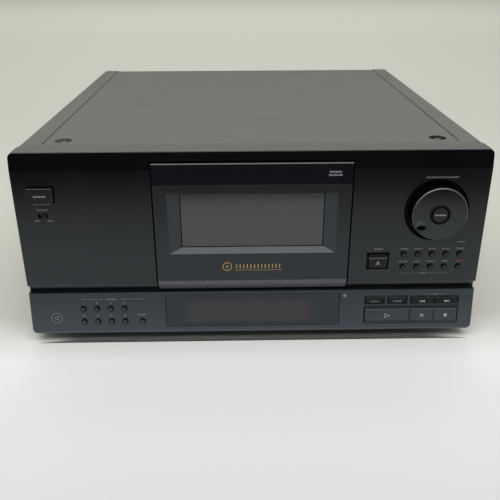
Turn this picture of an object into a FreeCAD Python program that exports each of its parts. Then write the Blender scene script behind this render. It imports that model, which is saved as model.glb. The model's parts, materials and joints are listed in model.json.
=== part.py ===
"""Rotary disc changer: a hi-fi cabinet with a hundred-slot disc table behind a drop-down door.

Lengths are millimetres. Every driving dimension is a cell of the spreadsheet "Sizes", and
every sub-part takes its sizes and its place from those cells through expressions.
Inside this file y is measured from the face of the front panel towards the rear, x from the
middle to the right, and z up from the floor. The finished frame has its origin on the floor
under the middle of the object's box, so each piece is shifted along y by FRONT.
"""

import FreeCAD
import Part

import math
import os

import Sketcher
from FreeCAD import Rotation, Vector

# ---------------------------------------------------------------- driving dimensions

SIZES = {
    # cabinet
    "panel_width": 430.0,
    "cabinet_height": 189.5,
    "cabinet_depth": 450.5,
    "foot_height": 11.0,
    "foot_radius": 20.0,
    "foot_taper": 2.0,
    "foot_inset": 46.0,
    "foot_front": 62.0,
    "foot_back": 52.0,
    "sheet": 1.0,
    "side_step": 3.0,
    "fit_gap": 0.3,
    "cover_bend": 2.5,
    "field_margin": 19.0,
    "field_front": 29.0,
    "field_depth": 0.8,
    "field_slope": 1.8,
    "dimple_radius": 7.2,
    "dimple_floor": 4.0,
    "dimple_depth": 1.2,
    "dimple_inset": 36.0,
    "dimple_back": 46.0,
    "vent_count": 9,
    "vent_pitch": 9.0,
    "vent_length": 40.0,
    "vent_width": 3.0,
    "rear_inset": 2.0,
    "screw_radius": 1.5,
    "screw_head": 3.4,
    "screw_head_height": 2.2,
    "screw_length": 6.0,
    "screw_inset": 18.0,
    "driver_slot": 0.9,
    "pan_wall": 34.0,
    "rear_lip": 5.0,
    "vent_margin": 14.0,
    "rear_vent_z": 110.0,
    "cut_spare": 1.0,
    # front moulding
    "panel_base": 9.5,
    "panel_wall": 2.5,
    "panel_depth": 22.0,
    "panel_corner": 5.0,
    "chin_round": 1.5,
    "brow_round": 0.8,
    "band_height": 16.5,
    "band_setback": 2.6,
    "band_lip": 1.4,
    "lower_height": 42.1,
    "chin": 5.0,
    "groove_height": 7.7,
    "groove_depth": 6.0,
    # door
    "door_width": 180.0,
    "door_gap": 1.4,
    "door_head_gap": 2.6,
    "door_top_margin": 10.5,
    "door_foot_gap": 1.7,
    "door_wall": 2.4,
    "door_depth": 12.0,
    "bevel_height": 10.2,
    "bevel_depth": 4.0,
    "strip_height": 20.2,
    "strip_depth": 1.5,
    "strip_bevel": 0.7,
    "bezel_width": 155.4,
    "bezel_top_drop": 28.0,
    "bezel_height": 59.5,
    "bezel_depth": 6.0,
    "bezel_side": 11.2,
    "bezel_ledge": 4.6,
    "bezel_head": 2.0,
    "glass_depth": 2.0,
    "glass_lap": 2.0,
    "hinge_inset": 8.0,
    "hinge_rise": 8.9,
    "hinge_pin": 2.0,
    "hinge_boss": 2.0,
    "hinge_clear": 0.06,
    "hinge_ear": 4.0,
    # display
    "display_width": 168.0,
    "display_low": 7.0,
    "display_height": 32.2,
    "display_corner": 4.0,
    "display_plate": 2.0,
    "readout_shift": -3.0,
    "readout_width": 122.0,
    "readout_height": 20.0,
    "tube_depth": 6.0,
    "window_lap": 3.0,
    "sensor_x": 89.3,
    "sensor_rise": 36.3,
    "sensor_side": 3.4,
    "sensor_depth": 0.6,
    # small round keys
    "key_radius": 2.6,
    "key_gap": 0.3,
    "key_proud": 1.8,
    "key_chamfer": 0.5,
    "key_travel": 0.9,
    "key_slack": 0.1,
    "key_flange": 1.0,
    "switch_height": 1.6,
    "key_pitch": 13.2,
    "row_pitch": 13.1,
    "mode_x": 142.5,
    "mode_low": 75.9,
    "group_x": -163.7,
    "group_low": 12.7,
    "file_x": -107.4,
    # rectangular keys of the lower face
    "pad_x": 109.0,
    "pad_gap": 0.5,
    "pad_split": 0.2,
    "pad_proud": 0.8,
    "pad_chamfer": 0.4,
    "pad_inset": 2.5,
    "time_width": 18.8,
    "time_space": 3.4,
    "skip_low": 27.2,
    "skip_height": 7.4,
    "skip_x": 153.6,
    "skip_width": 23.3,
    "play_low": 9.2,
    "play_height": 13.6,
    "play_width": 44.2,
    # power, timer and eject
    "power_x": -190.0,
    "power_z": 151.2,
    "power_width": 23.4,
    "power_height": 14.2,
    "power_proud": 4.0,
    "power_corner": 1.2,
    "power_stem": 6.0,
    "timer_x": -190.3,
    "timer_z": 131.0,
    "timer_slot": 8.4,
    "timer_height": 4.6,
    "timer_knob": 3.4,
    "timer_travel": 1.5,
    "eject_x": 118.3,
    "eject_z": 82.5,
    "eject_width": 21.4,
    "eject_height": 17.2,
    "eject_rim": 2.3,
    "eject_gap": 1.6,
    "eject_proud": 2.0,
    # jog dial
    "dial_x": 168.6,
    "dial_z": 132.9,
    "dial_radius": 25.2,
    "dial_proud": 11.5,
    "dial_bevel": 0.9,
    "dial_hub": 6.0,
    "dial_well": 29.6,
    "well_depth": 3.5,
    "dial_shaft": 3.0,
    "hub_clear": 0.06,
    "enter_radius": 7.9,
    "enter_proud": 0.8,
    "enter_depth": 5.5,
    "enter_travel": 1.2,
    "lip_radius": 9.9,
    "lip_rise": 0.5,
    "finger_radius": 5.0,
    "finger_reach": 19.2,
    "finger_share": 0.833,
    "finger_drop": 0.552,
    "finger_depth": 1.3,
    # disc table
    "disc_radius": 60.0,
    "disc_clear": 0.5,
    "disc_thick": 1.2,
    "table_side_gap": 15.0,
    "table_front_gap": 38.0,
    "table_rear_gap": 20.0,
    "table_slots": 100,
    "slot_width": 2.2,
    "fin_height": 34.0,
    "table_floor": 3.0,
    "table_rise": 12.0,
    "ring_wall": 3.0,
    "rim_teeth": 156,
    "pinion_teeth": 16,
    "pressure_angle": 20.0,
    "gear_height": 6.0,
    "backlash": 0.3,
    "root_depth": 1.25,
    "drive_angle": 225.0,
    "base_thick": 3.0,
    "track_width": 4.0,
    # player in the middle of the table
    "player_gap": 6.0,
    "player_wall": 2.5,
    "player_slot": 9.0,
    "play_lift": 4.5,
    "frame_foot": 21.0,
    "bridge_width": 44.0,
    "bridge_thick": 3.0,
    "bridge_drop": 22.0,
    "bridge_rib": 6.0,
    "platter_radius": 14.0,
    "platter_thick": 2.0,
    "spindle_radius": 7.2,
    "spindle_shaft": 1.5,
    "spindle_boss": 5.0,
    "spindle_can": 12.0,
    "spindle_depth": 10.0,
    "lens_reach": 24.0,
    "lens_half": 5.0,
    "lens_proud": 1.4,
    "pickup_travel": 34.0,
    "sled_gap": 5.0,
    "sled_thick": 9.0,
    "sled_wide": 46.0,
    "sled_tall": 20.0,
    "rail_radius": 1.5,
    "rail_inset": 5.0,
    "rail_spare": 2.0,
    "lug_thick": 3.0,
    "clamp_rise": 46.0,
    "clamp_gap": 5.0,
    "clamp_width": 20.0,
    "clamp_radius": 12.0,
    "lever_back": 12.0,
    "lever_drop": 7.0,
    "lever_boss": 4.5,
    "lever_length": 86.0,
    "lever_thick": 2.4,
    "lever_taper": 0.6,
    # electrical parts
    "board_thick": 1.6,
    "board_depth": 11.0,
    "board_margin": 4.0,
    "board_edge": 0.5,
    "selector_depth": 16.5,
    "board_width": 116.0,
    "pillar_height": 6.0,
    "pillar_inset": 8.0,
    "chip_height": 3.0,
    "transformer_x": 170.0,
    "transformer_y": 412.0,
    "coil_proud": 6.0,
    "transformer_width": 54.0,
    "transformer_depth": 46.0,
    "transformer_height": 50.0,
    "motor_radius": 14.0,
    "motor_height": 32.0,
    "motor_boss": 5.0,
    "motor_shaft": 1.5,
    "motor_lift": 5.0,
    "bridge_gap": 1.5,
    "bridge_post": 8.0,
    # rear connections
    "jack_x": -178.0,
    "jack_z": 36.0,
    "jack_pitch": 14.0,
    "control_step": 42.0,
    "jack_radius": 4.15,
    "jack_length": 9.0,
    "jack_bore": 1.65,
    "jack_clear": 2.0,
    "jack_deep": 8.0,
    "jack_block": 12.0,
    "mini_radius": 3.4,
    "mini_bore": 1.8,
    "gland_x": 182.0,
    "gland_z": 34.0,
    "gland_radius": 6.5,
    "gland_bore": 3.6,
    "gland_flange": 2.0,
    "gland_proud": 7.0,
}

DOC = FreeCAD.newDocument("disc_changer")
SHEET = DOC.addObject("Spreadsheet::Sheet", "Sizes")
for row, (alias, number) in enumerate(SIZES.items(), start=1):
    SHEET.set(f"A{row}", alias)
    SHEET.set(f"B{row}", str(number))
    SHEET.setAlias(f"B{row}", alias)
DOC.recompute()


class Size:
    """A length and the expression that works it out from the spreadsheet."""

    def __init__(self, text, value):
        self.text = text
        self.value = float(value)

    def __add__(self, other):
        other = size(other)
        return Size(f"({self.text} + {other.text})", self.value + other.value)

    def __sub__(self, other):
        other = size(other)
        return Size(f"({self.text} - {other.text})", self.value - other.value)

    def __mul__(self, other):
        other = size(other)
        return Size(f"({self.text} * {other.text})", self.value * other.value)

    def __truediv__(self, other):
        other = size(other)
        return Size(f"({self.text} / {other.text})", self.value / other.value)

    def __radd__(self, other):
        return size(other) + self

    def __rsub__(self, other):
        return size(other) - self

    def __rmul__(self, other):
        return size(other) * self

    def __rtruediv__(self, other):
        return size(other) / self

    def __neg__(self):
        return Size(f"(0 - {self.text})", -self.value)


def size(number):
    """A plain number as a Size, and a Size as it is."""
    return number if isinstance(number, Size) else Size(f"({number})", number)


def root(number):
    return Size(f"sqrt({number.text})", math.sqrt(number.value))


def arc_tan(number):
    """The angle, in degrees, whose tangent is the number."""
    return Size(f"(atan({number.text}) / 1 deg)", math.degrees(math.atan(number.value)))


def sine(degrees):
    return Size(f"sin({degrees.text})", math.sin(math.radians(degrees.value)))


def cosine(degrees):
    return Size(f"cos({degrees.text})", math.cos(math.radians(degrees.value)))


def smaller(first, second):
    return Size(f"min({first.text}; {second.text})", min(first.value, second.value))


def larger(first, second):
    return Size(f"max({first.text}; {second.text})", max(first.value, second.value))


def derived(alias, number):
    """Keeps a worked-out length as a formula in the spreadsheet and returns that cell."""
    line = len(SHEET.getUsedCells()) // 2 + 1
    SHEET.set(f"A{line}", alias)
    SHEET.set(f"B{line}", "=" + number.text.replace("Sizes.", ""))
    SHEET.setAlias(f"B{line}", alias)
    return Size(f"Sizes.{alias}", number.value)


class Cells:
    """Gives each spreadsheet cell as a Size: CELL.sheet is the cell with alias sheet."""

    def __getattr__(self, alias):
        return Size(f"Sizes.{alias}", SHEET.get(alias))


CELL = Cells()


def bind(obj, path, number):
    """Drives a property, or one number of a placement, by a Size or sets it once."""
    obj.setExpression(path, size(number).text)


# ---------------------------------------------------------------- sketch outlines


def poly(*points):
    return ("poly", [[(size(u), size(v)) for u, v in points]])


def rect(u0, v0, u1, v1):
    return poly((u0, v0), (u1, v0), (u1, v1), (u0, v1))


def block(u, v, width, height):
    """A rectangle about its middle."""
    u, v, width, height = size(u), size(v), size(width), size(height)
    return rect(u - width / 2, v - height / 2, u + width / 2, v + height / 2)


def circle(u, v, radius):
    return ("circle", (size(u), size(v), size(radius)))


def rounded(u0, v0, u1, v1, radius):
    """A rectangle with round corners."""
    return ("rounded", [size(number) for number in (u0, v0, u1, v1, radius)])


def draw_poly(sketch, points):
    """A closed outline of straight lines, with each corner driven by the sheet."""
    first = sketch.GeometryCount
    corners = [Vector(u.value, v.value, 0) for u, v in points]
    for number, corner in enumerate(corners):
        following = corners[(number + 1) % len(corners)]
        sketch.addGeometry(Part.LineSegment(corner, following), False)
    for number in range(len(corners)):
        after = first + (number + 1) % len(corners)
        sketch.addConstraint(Sketcher.Constraint("Coincident", first + number, 2, after, 1))
    for number, corner in enumerate(points):
        for kind, along in zip(("DistanceX", "DistanceY"), corner):
            drive(sketch, Sketcher.Constraint(kind, -1, 1, first + number, 1, along.value), along)


def draw_circle(sketch, centre_u, centre_v, radius):
    centre = Vector(centre_u.value, centre_v.value, 0)
    number = sketch.addGeometry(Part.Circle(centre, Vector(0, 0, 1), radius.value), False)
    drive(sketch, Sketcher.Constraint("DistanceX", -1, 1, number, 3, centre_u.value), centre_u)
    drive(sketch, Sketcher.Constraint("DistanceY", -1, 1, number, 3, centre_v.value), centre_v)
    drive(sketch, Sketcher.Constraint("Radius", number, radius.value), radius)


def draw_rounded(sketch, u0, v0, u1, v1, radius):
    """Four sides whose ends are driven by the sheet, joined by quarter circles."""
    first = sketch.GeometryCount
    ends = [(u0 + radius, v0), (u1 - radius, v0), (u1, v0 + radius), (u1, v1 - radius),
            (u1 - radius, v1), (u0 + radius, v1), (u0, v1 - radius), (u0, v0 + radius)]
    points = [Vector(u.value, v.value, 0) for u, v in ends]
    for side in range(4):
        sketch.addGeometry(Part.LineSegment(points[side * 2], points[side * 2 + 1]), False)
        for which in (0, 1):
            for kind, number in zip(("DistanceX", "DistanceY"), ends[side * 2 + which]):
                drive(sketch, Sketcher.Constraint(kind, -1, 1, first + side, which + 1, number.value),
                      number)
    turns = ((u1 - radius, v0 + radius, -90), (u1 - radius, v1 - radius, 0),
             (u0 + radius, v1 - radius, 90), (u0 + radius, v0 + radius, 180))
    for side, (u, v, begin) in enumerate(turns):
        whole = Part.Circle(Vector(u.value, v.value, 0), Vector(0, 0, 1), radius.value)
        start = math.radians(begin)
        arc = sketch.addGeometry(Part.ArcOfCircle(whole, start, start + math.pi / 2), False)
        following = first + (side + 1) % 4
        sketch.addConstraint(Sketcher.Constraint("Coincident", arc, 1, first + side, 2))
        sketch.addConstraint(Sketcher.Constraint("Coincident", arc, 2, following, 1))
        drive(sketch, Sketcher.Constraint("DistanceX", -1, 1, arc, 3, u.value), u)


DRAW = {"poly": draw_poly, "circle": draw_circle, "rounded": draw_rounded}


def drive(sketch, constraint, number):
    where = sketch.addConstraint(constraint)
    sketch.setExpression(f"Constraints[{where}]", number.text)


# ---------------------------------------------------------------- pieces

# A turn this small only keeps the axis until the expression sets the angle.
SEED_TURN = 0.001
PIECES = []
PLANES = {"XY": "XY_Plane", "XZ": "XZ_Plane", "YZ": "YZ_Plane"}


def place(obj, x, y, z, angle=0, axis="x"):
    """Puts an object at a point of the cabinet, turned about one of its axes by an angle."""
    about = Vector(*[float(name == axis) for name in "xyz"])
    obj.Placement = FreeCAD.Placement(Vector(0, 0, 0), Rotation(about, SEED_TURN))
    bind(obj, "Placement.Base.x", x)
    bind(obj, "Placement.Base.y", FRONT + size(y))
    bind(obj, "Placement.Base.z", z)
    bind(obj, "Placement.Rotation.Angle", angle)


class Piece:
    """One sub-part: a PartDesign body, drawn about its own origin and put in its place."""

    def __init__(self, label, x=0, y=0, z=0, angle=0, axis="x", keep=True):
        self.body = DOC.addObject("PartDesign::Body", label)
        self.body.Label = label
        place(self.body, x, y, z, angle, axis)
        if keep:
            PIECES.append(self.body)

    def origin(self, role):
        return next(f for f in self.body.Origin.OriginFeatures if f.Role == role)

    def sketch(self, plane, outlines, at, leaning=False):
        """Outlines on a plane of the body, moved to a height along that plane's axis."""
        sketch = self.body.newObject("Sketcher::SketchObject", "Sketch")
        sketch.AttachmentSupport = (self.origin(PLANES[plane]), [""])
        sketch.MapMode = "FlatFace"
        for kind, values in outlines:
            DRAW[kind](sketch, *values)
        if leaning:
            lean_sketch(sketch, at)
        else:
            bind(sketch, "AttachmentOffset.Base.z", -at if plane == "XZ" else at)
        return sketch

    def extrude(self, kind, plane, outlines, start, end, leaning):
        start, end = size(start), size(end)
        adds = kind == "Pad"
        low_side = (plane != "XZ") == adds
        sketch = self.sketch(plane, outlines, start if low_side else end, leaning)
        feature = self.body.newObject(f"PartDesign::{kind}", kind)
        feature.Profile = sketch
        feature.Refine = False
        bind(feature, "Length", end - start)
        DOC.recompute()
        return feature

    def pad(self, plane, outlines, start, end, leaning=False):
        """Adds material from start to end along the axis that the plane faces."""
        return self.extrude("Pad", plane, outlines, start, end, leaning)

    def pocket(self, plane, outlines, start, end, leaning=False):
        """Cuts material away from start to end along the axis that the plane faces."""
        return self.extrude("Pocket", plane, outlines, start, end, leaning)

    def revolve(self, points):
        """Turns a profile of (radius, height) points about the body's z axis."""
        sketch = self.sketch("XZ", [poly(*points)], size(0))
        feature = self.body.newObject("PartDesign::Revolution", "Revolution")
        feature.Profile = sketch
        feature.ReferenceAxis = (sketch, ["V_Axis"])
        feature.Angle = 360
        feature.Refine = False
        DOC.recompute()
        return feature

    def loft(self, kind, near, near_at, far, far_at):
        """A straight loft between one outline and another, both on the XZ plane."""
        first = self.sketch("XZ", [near], size(near_at))
        second = self.sketch("XZ", [far], size(far_at))
        feature = self.body.newObject(f"PartDesign::{kind}", kind)
        feature.Profile = first
        feature.Sections = [second]
        feature.Ruled = True
        feature.Refine = False
        DOC.recompute()
        return feature

    def dress(self, kind, prop, amount, wanted):
        """A fillet or chamfer on each edge of the tip that wanted() accepts."""
        tip = self.body.Tip
        names = [f"Edge{n}" for n, e in enumerate(tip.Shape.Edges, start=1) if wanted(e)]
        feature = self.body.newObject(f"PartDesign::{kind}", kind)
        feature.Base = (tip, names)
        feature.Refine = False
        bind(feature, prop, amount)
        DOC.recompute()
        return feature

    def fillet(self, radius, wanted):
        return self.dress("Fillet", "Radius", radius, wanted)

    def chamfer(self, amount, wanted):
        return self.dress("Chamfer", "Size", amount, wanted)

    def carve(self, form, x, y, z, **lengths):
        """Cuts away a sphere or a cone that stands at a point, with its lengths by name."""
        feature = self.body.newObject(f"PartDesign::Subtractive{form}", form)
        feature.AttachmentSupport = (self.origin(PLANES["XY"]), [""])
        feature.MapMode = "FlatFace"
        feature.Refine = False
        for name, number in lengths.items():
            bind(feature, name, number)
        for name, number in zip("xyz", (x, y, z)):
            bind(feature, f"AttachmentOffset.Base.{name}", number)
        DOC.recompute()
        return feature

    def dish(self, x, y, z, radius, depth):
        """Cuts a shallow round hollow of that radius into a face at height z."""
        ball = (radius * radius + depth * depth) / (depth * 2)
        return self.carve("Sphere", x, y, z + ball - depth, Radius=ball)

    def pattern(self, kind, original, count, axis, length=None):
        """Repeats a feature round the z axis, or along an axis over a length."""
        feature = self.body.newObject(f"PartDesign::{kind}", kind)
        feature.Originals = [original]
        feature.Refine = False
        if kind == "PolarPattern":
            feature.Axis = (self.origin(axis), [""])
            feature.Angle = 360
        else:
            feature.Direction = (self.origin(axis), [""])
            bind(feature, "Length", length)
        bind(feature, "Occurrences", count)
        self.body.Tip = feature
        DOC.recompute()
        return feature


def lean_sketch(sketch, at):
    """Leans a sketch of the XZ plane as the lower face leans, at a depth behind that face."""
    sketch.AttachmentOffset = FreeCAD.Placement(Vector(), Rotation(Vector(1, 0, 0), SEED_TURN))
    bind(sketch, "AttachmentOffset.Base.z", -at * cosine(LEAN))
    bind(sketch, "AttachmentOffset.Base.y", LOWER_TOP - at * sine(LEAN))
    bind(sketch, "AttachmentOffset.Rotation.Angle", -LEAN)


NEAR = 0.01
STRAIGHT = 1e-6


def near(edge, **where):
    """Whether an edge's middle lies at the given x, y or z."""
    middle = edge.CenterOfMass
    return all(abs(getattr(middle, name) - size(number).value) < NEAR
               for name, number in where.items())


def along(axis):
    """Accepts the straight edges that run along an axis, x, y or z."""

    def wanted(edge):
        if edge.Curve.TypeId != "Part::GeomLine":
            return False
        return abs(abs(getattr(edge.Curve.Direction, axis)) - 1) < STRAIGHT

    return wanted

# ---------------------------------------------------------------- places shared by the pieces

HALF = derived("half", CELL.panel_width / 2)
COVER_HALF = derived("cover_half", HALF - CELL.side_step)
PAN_HALF = derived("pan_half", COVER_HALF - CELL.sheet - CELL.fit_gap)
TOP = derived("top", CELL.cabinet_height)
REAR = derived("rear", CELL.cabinet_depth)
REAR_FACE = derived("rear_face", REAR - CELL.rear_inset)
REAR_BACK = derived("rear_back", REAR_FACE - CELL.sheet)
PANEL_BACK = derived("panel_back", CELL.panel_depth)
SHELL_FRONT = derived("shell_front", PANEL_BACK + CELL.fit_gap)
WALL = derived("wall", CELL.panel_wall)
SPARE = derived("spare", CELL.cut_spare)
LOWER_TOP = derived("lower_top", CELL.panel_base + CELL.lower_height)
UPPER_BASE = derived("upper_base", LOWER_TOP + CELL.groove_height)
BAND_BASE = derived("band_base", TOP - CELL.band_height)
BROW_HALF = derived("brow_half", HALF - CELL.panel_corner - CELL.fit_gap)
LEAN = derived("lean", arc_tan(CELL.chin / CELL.lower_height))
FRONT = derived("front", (CELL.dial_proud + CELL.enter_proud - REAR_FACE - CELL.jack_length) / 2)
PAN_FLOOR = derived("pan_floor", CELL.foot_height + CELL.sheet)

DOOR_HALF = derived("door_half", CELL.door_width / 2)
DOOR_TOP = derived("door_top", TOP - CELL.door_top_margin)
DOOR_FOOT = derived("door_foot", LOWER_TOP + CELL.door_foot_gap)
JAMB = derived("jamb", DOOR_HALF + CELL.door_gap)
HEAD = derived("head", DOOR_TOP + CELL.door_head_gap)
HINGE_Z = derived("hinge_z", LOWER_TOP + CELL.hinge_rise)
STRIP_LOW = derived("strip_low", DOOR_TOP - CELL.strip_height)
BEZEL_HALF = derived("bezel_half", CELL.bezel_width / 2)
BEZEL_TOP = derived("bezel_top", DOOR_TOP - CELL.bezel_top_drop)
BEZEL_LOW = derived("bezel_low", BEZEL_TOP - CELL.bezel_height)
PANE_HALF = derived("pane_half", BEZEL_HALF - CELL.bezel_side)
PANE_TOP = derived("pane_top", BEZEL_TOP - CELL.bezel_head)
PANE_LOW = derived("pane_low", BEZEL_LOW + CELL.bezel_ledge)

TABLE_DEPTH = derived("table_depth", REAR - CELL.table_front_gap - CELL.table_rear_gap)
TABLE_RADIUS = derived("table_radius",
                       smaller(COVER_HALF - CELL.table_side_gap, TABLE_DEPTH / 2))
TABLE_Y = derived("table_y", CELL.table_front_gap + TABLE_RADIUS)
TABLE_Z = derived("table_z", PAN_FLOOR + CELL.table_rise)
CRADLE = derived("cradle", CELL.disc_radius + CELL.disc_clear)
MODULE = derived("module", TABLE_RADIUS * 2 / (CELL.rim_teeth + 2))
RIM_PITCH = derived("rim_pitch", TABLE_RADIUS - MODULE)
RIM_ROOT = derived("rim_root", RIM_PITCH - MODULE * CELL.root_depth)
PINION_PITCH = derived("pinion_pitch", MODULE * CELL.pinion_teeth / 2)
STORE_RADIUS = derived("store_radius", RIM_ROOT - CELL.ring_wall - CRADLE)
WELL_RADIUS = derived("well_radius", STORE_RADIUS - CRADLE - CELL.ring_wall)
DRIVE_REACH = derived("drive_reach", RIM_PITCH + PINION_PITCH)
DRIVE_X = derived("drive_x", DRIVE_REACH * cosine(CELL.drive_angle))
DRIVE_Y = derived("drive_y", TABLE_Y + DRIVE_REACH * sine(CELL.drive_angle))
DRIVE_Z = derived("drive_z", TABLE_Z + CELL.gear_height + CELL.motor_lift)

BRIDGE_TOP = derived("bridge_top", TOP - CELL.bridge_drop)
BRIDGE_LOW = derived("bridge_low", BRIDGE_TOP - CELL.bridge_thick)
PLAY_Z = derived("play_z", TABLE_Z + CELL.table_floor + CRADLE + CELL.play_lift)
FRAME_HALF = derived("frame_half", WELL_RADIUS - CELL.player_gap)
SIDE_IN = derived("side_in", CELL.player_slot / 2)
SIDE_OUT = derived("side_out", SIDE_IN + CELL.player_wall)
LEVER_Y = derived("lever_y", TABLE_Y + STORE_RADIUS + CRADLE + CELL.lever_back)
LEVER_Z = derived("lever_z", BRIDGE_LOW - CELL.lever_drop)
SLED_X = derived("sled_x", -SIDE_OUT - CELL.sled_gap - CELL.sled_thick / 2)


def face_y(height):
    """How far back the leaning lower face lies at a height above the floor."""
    return (height - LOWER_TOP) * CELL.chin / CELL.lower_height


def down(height):
    """A height above the floor, measured instead along the leaning lower face."""
    return (height - LOWER_TOP) / cosine(LEAN)


# ---------------------------------------------------------------- cabinet


def top_cover():
    """The folded steel wrapper: a top with an embossed field, and two sides."""
    piece = Piece("top_cover")
    low = CELL.foot_height + CELL.fit_gap
    lip_half = COVER_HALF - CELL.cover_bend
    sheet_low = TOP - CELL.sheet
    inner = COVER_HALF - CELL.sheet
    piece.pad("XZ", [rect(-COVER_HALF, low, COVER_HALF, TOP)], SHELL_FRONT, REAR)
    piece.pocket("XZ", [rect(-inner, low - CELL.sheet, inner, sheet_low)],
                 SHELL_FRONT - CELL.sheet, REAR + CELL.sheet)

    def outer_bend(edge):
        return along("y")(edge) and near(edge, z=TOP) and abs(edge.CenterOfMass.x) > lip_half.value

    piece.fillet(CELL.cover_bend, outer_bend)
    lip_start = CELL.band_setback + CELL.band_lip + CELL.fit_gap
    piece.pad("XY", [rect(-COVER_HALF, lip_start, COVER_HALF, SHELL_FRONT)], sheet_low, TOP)
    piece.pad("XY", [rect(-lip_half, SHELL_FRONT, lip_half, SHELL_FRONT + CELL.sheet)],
              sheet_low, TOP)
    emboss_field(piece)
    holes = [circle(y, z, CELL.screw_radius + CELL.fit_gap) for y, z in side_screws()]
    piece.pocket("YZ", holes, -COVER_HALF - CELL.sheet, COVER_HALF + CELL.sheet)


def emboss_field(piece):
    """Sinks the middle of the top between sloped steps, and a round dimple at each front corner."""
    field = COVER_HALF - CELL.field_margin
    under = field + CELL.sheet
    step = CELL.field_depth
    slope = CELL.field_slope
    front = CELL.field_front
    below = TOP - CELL.sheet - step
    piece.pad("XY", [rect(-under, front - CELL.sheet, under, REAR)], below, TOP - CELL.sheet)
    piece.pocket("XY", [rect(slope - field, front + slope, field - slope, REAR + CELL.sheet)],
                 TOP - step, TOP)
    for side in (-1, 1):
        edge, inner = side * field, side * (field - slope)
        piece.pocket("XZ", [poly((edge, TOP), (inner, TOP - step), (inner, TOP))],
                     front + slope, REAR + CELL.sheet)
    piece.pocket("YZ", [poly((front, TOP), (front + slope, TOP - step), (front + slope, TOP))],
                 slope - field, field - slope)
    deep = CELL.dimple_depth
    bowl = CELL.dimple_radius
    for side in (-1, 1):
        x, y = side * (COVER_HALF - CELL.dimple_inset), CELL.dimple_back
        piece.pad("XY", [circle(x, y, bowl + CELL.sheet)], below - deep, below)
        piece.carve("Cone", x, y, TOP - step - deep,
                    Radius1=CELL.dimple_floor, Radius2=bowl, Height=deep)


def side_screws():
    """Where the cover's side screws go in, as (y, z)."""
    height = PAN_FLOOR + CELL.pan_wall / 2
    return [(SHELL_FRONT + CELL.screw_inset, height), (REAR - CELL.screw_inset, height)]


def cover_screws():
    """The four screws that hold the cover to the walls of the pan."""
    piece = Piece("cover_screw", keep=False)
    head = CELL.screw_head_height
    piece.pad("YZ", [circle(0, 0, CELL.screw_head)], 0, head)
    piece.pad("YZ", [circle(0, 0, CELL.screw_radius)], -CELL.screw_length, 0)
    piece.pocket("YZ", [block(0, 0, CELL.screw_head, CELL.driver_slot)], head / 2, head)
    places = []
    for turn in (0, 180):
        side = -1 if turn else 1
        for y, z in side_screws():
            places.append((side * COVER_HALF, y, z, turn))
    group("cover_screws", piece.body, places)


def feet():
    """Four turned plastic feet under the pan, a little narrower at the floor."""
    piece = Piece("foot", keep=False)
    wide = CELL.foot_radius
    narrow = wide - CELL.foot_taper
    rise = CELL.foot_height
    piece.revolve([(0, 0), (narrow, 0), (wide, CELL.foot_taper), (wide, rise), (0, rise)])
    reach = HALF - CELL.foot_inset
    rows = (CELL.foot_front, REAR - CELL.foot_back)
    group("feet", piece.body, [(side * reach, y, size(0), 0) for side in (-1, 1) for y in rows])


def group(label, body, places):
    """Copies of one body as separate solids of one compound, each at (x, y, z, turn)."""
    links = []
    for number, (x, y, z, turn) in enumerate(places, start=1):
        link = DOC.addObject("App::Link", f"{label}_{number}")
        link.LinkedObject = body
        place(link, x, y, z, turn, "z")
        links.append(link)
    compound = DOC.addObject("Part::Compound", label)
    compound.Label = label
    compound.Links = links
    DOC.recompute()
    PIECES.append(compound)


def chassis_pan():
    """The steel floor pan, with a wall all round and vents towards the rear."""
    piece = Piece("chassis_pan")
    inner = PAN_HALF - CELL.sheet
    rise = PAN_FLOOR + CELL.pan_wall
    piece.pad("XY", [rect(-PAN_HALF, SHELL_FRONT, PAN_HALF, REAR_BACK)], CELL.foot_height, rise)
    piece.pocket("XY", [rect(-inner, SHELL_FRONT + CELL.sheet, inner, REAR_BACK - CELL.sheet)],
                 PAN_FLOOR, rise + CELL.sheet)
    low = REAR_BACK - CELL.sheet
    piece.pocket("XZ", [rect(-inner, PAN_FLOOR + CELL.rear_lip, inner, rise + CELL.sheet)],
                 low - CELL.sheet, REAR_BACK + CELL.sheet)
    across = CELL.vent_pitch * (CELL.vent_count - 1)
    vent_y = REAR_BACK - CELL.vent_margin - CELL.vent_length / 2
    vent = piece.pocket("XY", [block(-across / 2, vent_y, CELL.vent_width, CELL.vent_length)],
                        CELL.foot_height - CELL.sheet, PAN_FLOOR + CELL.fit_gap)
    piece.pattern("LinearPattern", vent, CELL.vent_count, "X_Axis", across)
    holes = [circle(y, z, CELL.screw_radius + CELL.fit_gap) for y, z in side_screws()]
    piece.pocket("YZ", holes, -PAN_HALF - CELL.sheet, PAN_HALF + CELL.sheet)


def rear_panel():
    """The steel back, with holes for the sockets and the gland and a row of vents."""
    piece = Piece("rear_panel")
    low = CELL.foot_height + CELL.sheet
    high = TOP - CELL.sheet - CELL.field_depth - CELL.fit_gap
    piece.pad("XZ", [rect(-PAN_HALF, low, PAN_HALF, high)], REAR_BACK, REAR_FACE)
    ring = CELL.jack_radius + CELL.jack_clear
    holes = [circle(x, CELL.jack_z, ring) for x in line_jacks()]
    holes += [circle(x, CELL.jack_z, CELL.mini_radius + CELL.fit_gap) for x in mini_jacks()]
    holes.append(circle(CELL.gland_x, CELL.gland_z, CELL.gland_radius + CELL.fit_gap))
    start, end = REAR_BACK - CELL.sheet, REAR_FACE + CELL.sheet
    piece.pocket("XZ", holes, start, end)
    across = CELL.vent_pitch * (CELL.vent_count - 1)
    vent_x = CELL.transformer_x - across / 2
    vent = piece.pocket("XZ", [block(vent_x, CELL.rear_vent_z, CELL.vent_width, CELL.vent_length)],
                        start, end)
    piece.pattern("LinearPattern", vent, CELL.vent_count, "X_Axis", across)


def line_jacks():
    return [CELL.jack_x, CELL.jack_x + CELL.jack_pitch]


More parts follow.
